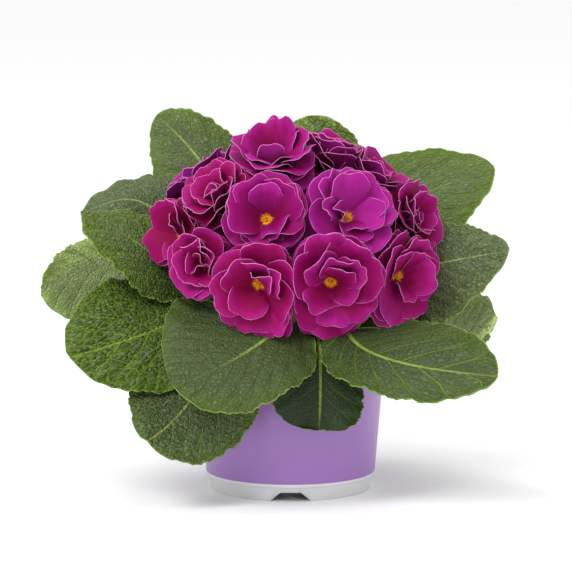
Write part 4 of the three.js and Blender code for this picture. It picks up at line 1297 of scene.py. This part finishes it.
def opening_tree():
    """Cuts the foot's notches and the floor's drain holes out of the pot."""
    tree = Tree("pot_openings")
    notches = tree.input("Notches", "Int", NOTCH_COUNT)
    drains = tree.input("Drains", "Int", DRAIN_COUNT)
    drain_radius = tree.input("Drain Radius", "Float", DRAIN_RADIUS * MM)
    drain_circle = tree.input("Drain Circle", "Float", DRAIN_CIRCLE * MM)
    foot = tree.node("GeometryNodeCurvePrimitiveQuadrilateral", {"mode": "TRAPEZOID"},
                     Height=NOTCH_HEIGHT * MM * 2,
                     Bottom_Width=(2 * NOTCH_FOOT_WIDTH - NOTCH_TOP_WIDTH) * MM,
                     Top_Width=NOTCH_TOP_WIDTH * MM, Offset=0.0)
    flat = tree.node("GeometryNodeFillCurve", Curve=foot.outputs[0])
    block = tree.node("GeometryNodeExtrudeMesh", Mesh=flat.outputs[0], Offset_Scale=0.02)
    closed = tree.node("GeometryNodeJoinGeometry", Geometry=[block.outputs[0], tree.node(
        "GeometryNodeFlipFaces", Mesh=flat.outputs[0]).outputs[0]])
    welded = tree.node("GeometryNodeMergeByDistance", Geometry=closed.outputs[0], Distance=0.00001)
    upright = tree.node("GeometryNodeTransform", Geometry=welded.outputs[0], Rotation=(math.pi / 2, 0, 0),
                        Translation=(0, -(FOOT_RADIUS - 8) * MM, 0))
    ring = tree.node("GeometryNodeMeshLine", Count=notches, Offset=(0, 0, 0))
    number = tree.node("GeometryNodeInputIndex")
    step = tree.node("ShaderNodeMath", {"operation": "DIVIDE"}, i0=2 * math.pi, i1=notches)
    angle = tree.node("ShaderNodeMath", {"operation": "MULTIPLY"}, i0=number.outputs[0], i1=step.outputs[0])
    turn = tree.node("ShaderNodeCombineXYZ", Z=angle.outputs[0])
    cuts = tree.node("GeometryNodeInstanceOnPoints", Points=ring.outputs[0], Instance=upright.outputs[0],
                     Rotation=turn.outputs[0])
    circle = tree.node("GeometryNodeMeshCircle", Vertices=drains, Radius=drain_circle)
    drain = tree.node("GeometryNodeMeshCylinder", Vertices=24, Radius=drain_radius, Depth=0.01)
    holes = tree.node("GeometryNodeInstanceOnPoints", Points=circle.outputs[0],
                      Instance=drain.outputs["Mesh"])
    half_step = math.pi / DRAIN_COUNT
    set_off = tree.node("GeometryNodeTransform", Geometry=holes.outputs[0], Rotation=(0, 0, half_step),
                        Translation=(0, 0, FLOOR_UNDERSIDE * MM))
    centred = tree.node("GeometryNodeTransform", Translation=tuple(POT_AXIS * MM), Geometry=tree.node(
        "GeometryNodeJoinGeometry", Geometry=[cuts.outputs[0], set_off.outputs[0]]).outputs[0])
    real = tree.node("GeometryNodeRealizeInstances", Geometry=centred.outputs[0])
    cut = tree.node("GeometryNodeMeshBoolean", {"operation": "DIFFERENCE", "solver": "EXACT"},
                    Mesh_1=tree.start.outputs[0], Mesh_2=real.outputs[0])
    tree.finish(cut.outputs["Mesh"], POT)
    return tree


def pot_piece():
    body_foot = FOOT_HEIGHT + FOOT_CHAMFER
    floor_top = FLOOR_UNDERSIDE + POT_WALL
    band_foot = POT_HEIGHT - RIM_BAND
    rim_inside = RIM_RADIUS - POT_WALL
    outside = [
        (0, FLOOR_UNDERSIDE), (FOOT_RADIUS - POT_WALL, FLOOR_UNDERSIDE), (FOOT_RADIUS - POT_WALL, 0.3),
        (FOOT_RADIUS - POT_WALL + 0.3, 0), (FOOT_RADIUS - 0.4, 0), (FOOT_RADIUS, 0.4),
        (FOOT_RADIUS + 0.45, FOOT_HEIGHT + 0.4), (FOOT_RADIUS + 0.75, FOOT_HEIGHT + 0.9),
        (BODY_FOOT_RADIUS - 0.35, FOOT_HEIGHT + 1.1), (BODY_FOOT_RADIUS, FOOT_HEIGHT + 1.5),
        (BODY_FOOT_RADIUS, body_foot),
    ]
    outside += [(wall_radius(z), z) for z in np.linspace(body_foot + 0.6, band_foot - 0.9, 14)]
    rim = [
        (wall_radius(band_foot - 0.4), band_foot - 0.4), (RIM_RADIUS - 0.8, band_foot - 0.1),
        (RIM_RADIUS - 0.4, band_foot + 0.3), (RIM_RADIUS, POT_HEIGHT - 0.9),
        (RIM_RADIUS - 0.1, POT_HEIGHT - 0.4), (RIM_RADIUS - 0.5, POT_HEIGHT),
        (rim_inside + 0.2, POT_HEIGHT), (rim_inside - 0.05, POT_HEIGHT - 0.4),
        (rim_inside - 0.4, band_foot + 0.6), (wall_radius(band_foot) - POT_WALL, band_foot - 1),
        (BODY_FOOT_RADIUS - POT_WALL, body_foot + 0.4), (FOOT_RADIUS - 0.6, floor_top), (0, floor_top),
    ]
    profile = outside + rim
    sides = 144
    points, faces = turned(profile, sides)
    is_out = np.repeat([1.0 if i < len(outside) + 4 else 0.0 for i in range(1, len(profile) - 1)], sides)
    whole = make_object("pot_shell", points, faces, POT, {"outside": np.concatenate([is_out, [0.0, 0.0]])})
    piece = grow("dressed_pot", whole, opening_tree(), **{"Notches": NOTCH_COUNT, "Drains": DRAIN_COUNT})
    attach(piece, "root")
    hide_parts("pot")
    return piece


# ---- The set: floor, camera and light ----
CAMERA_AIM = (-2.3, 0, 103.6)
CAMERA_DISTANCE = 2.0
CAMERA_TILT = math.radians(8.2)
CAMERA_LENS = 247
LIGHT_AIM = (0, 0, 0.1)
# Each light's place and size in metres, and its power in watts.
LIGHTS = (
    ("key_light", (-0.8, -1.0, 1.3), 0.7, 20),
    ("fill_light", (1.1, -1.1, 0.5), 1.0, 1),
    ("top_light", (0.1, 0.3, 1.5), 0.9, 6),
)


def make_set():
    floor = bpy.data.meshes.new("floor")
    floor.from_pydata([(-12, -12, 0), (12, -12, 0), (12, 12, 0), (-12, 12, 0)], [], [(0, 1, 2, 3)])
    plain = Finish("pale_floor", 0.9)
    plain.surface.inputs["Base Color"].default_value = (0.93, 0.93, 0.93, 1)
    floor.materials.append(plain.material)
    floor_object = linked("floor", floor)

    target = Vector(POT_AXIS + np.array(CAMERA_AIM)) * MM
    camera = bpy.data.cameras.new("camera")
    camera.lens = CAMERA_LENS
    camera.sensor_width = 36
    camera.clip_end = 60
    camera_object = linked("camera", camera)
    back = Vector((0, -math.cos(CAMERA_TILT), math.sin(CAMERA_TILT)))
    camera_object.location = target + CAMERA_DISTANCE * back
    camera_object.rotation_euler = (math.pi / 2 - CAMERA_TILT, 0, 0)
    bpy.context.scene.camera = camera_object

    for name, place, size, power in LIGHTS:
        light = bpy.data.lights.new(name, "AREA")
        light.size = size
        light.energy = power
        light_object = linked(name, light)
        light_object.location = place
        towards = Vector(LIGHT_AIM) - Vector(place)
        light_object.rotation_euler = towards.to_track_quat("-Z", "Y").to_euler()

    world = bpy.data.worlds.new("studio")
    world.use_nodes = True
    world.node_tree.nodes["Background"].inputs["Color"].default_value = (1, 1, 1, 1)
    world.node_tree.nodes["Background"].inputs["Strength"].default_value = 1.0
    bpy.context.scene.world = world
    bpy.context.scene.view_settings.view_transform = "Standard"


pot_piece()
soil_piece()
stalks = stalks_piece()
leaves = [leaf_piece(leaf, number + 1) for number, leaf in enumerate(LEAVES)]
hairs_piece(leaves, stalks)
young_leaves_piece()
for index, bloom in enumerate(BLOOMS):
    bloom_piece(bloom, index)
eyes_piece()
make_set()


def plain(box):
    return [[float(number) for number in corner] for corner in box]
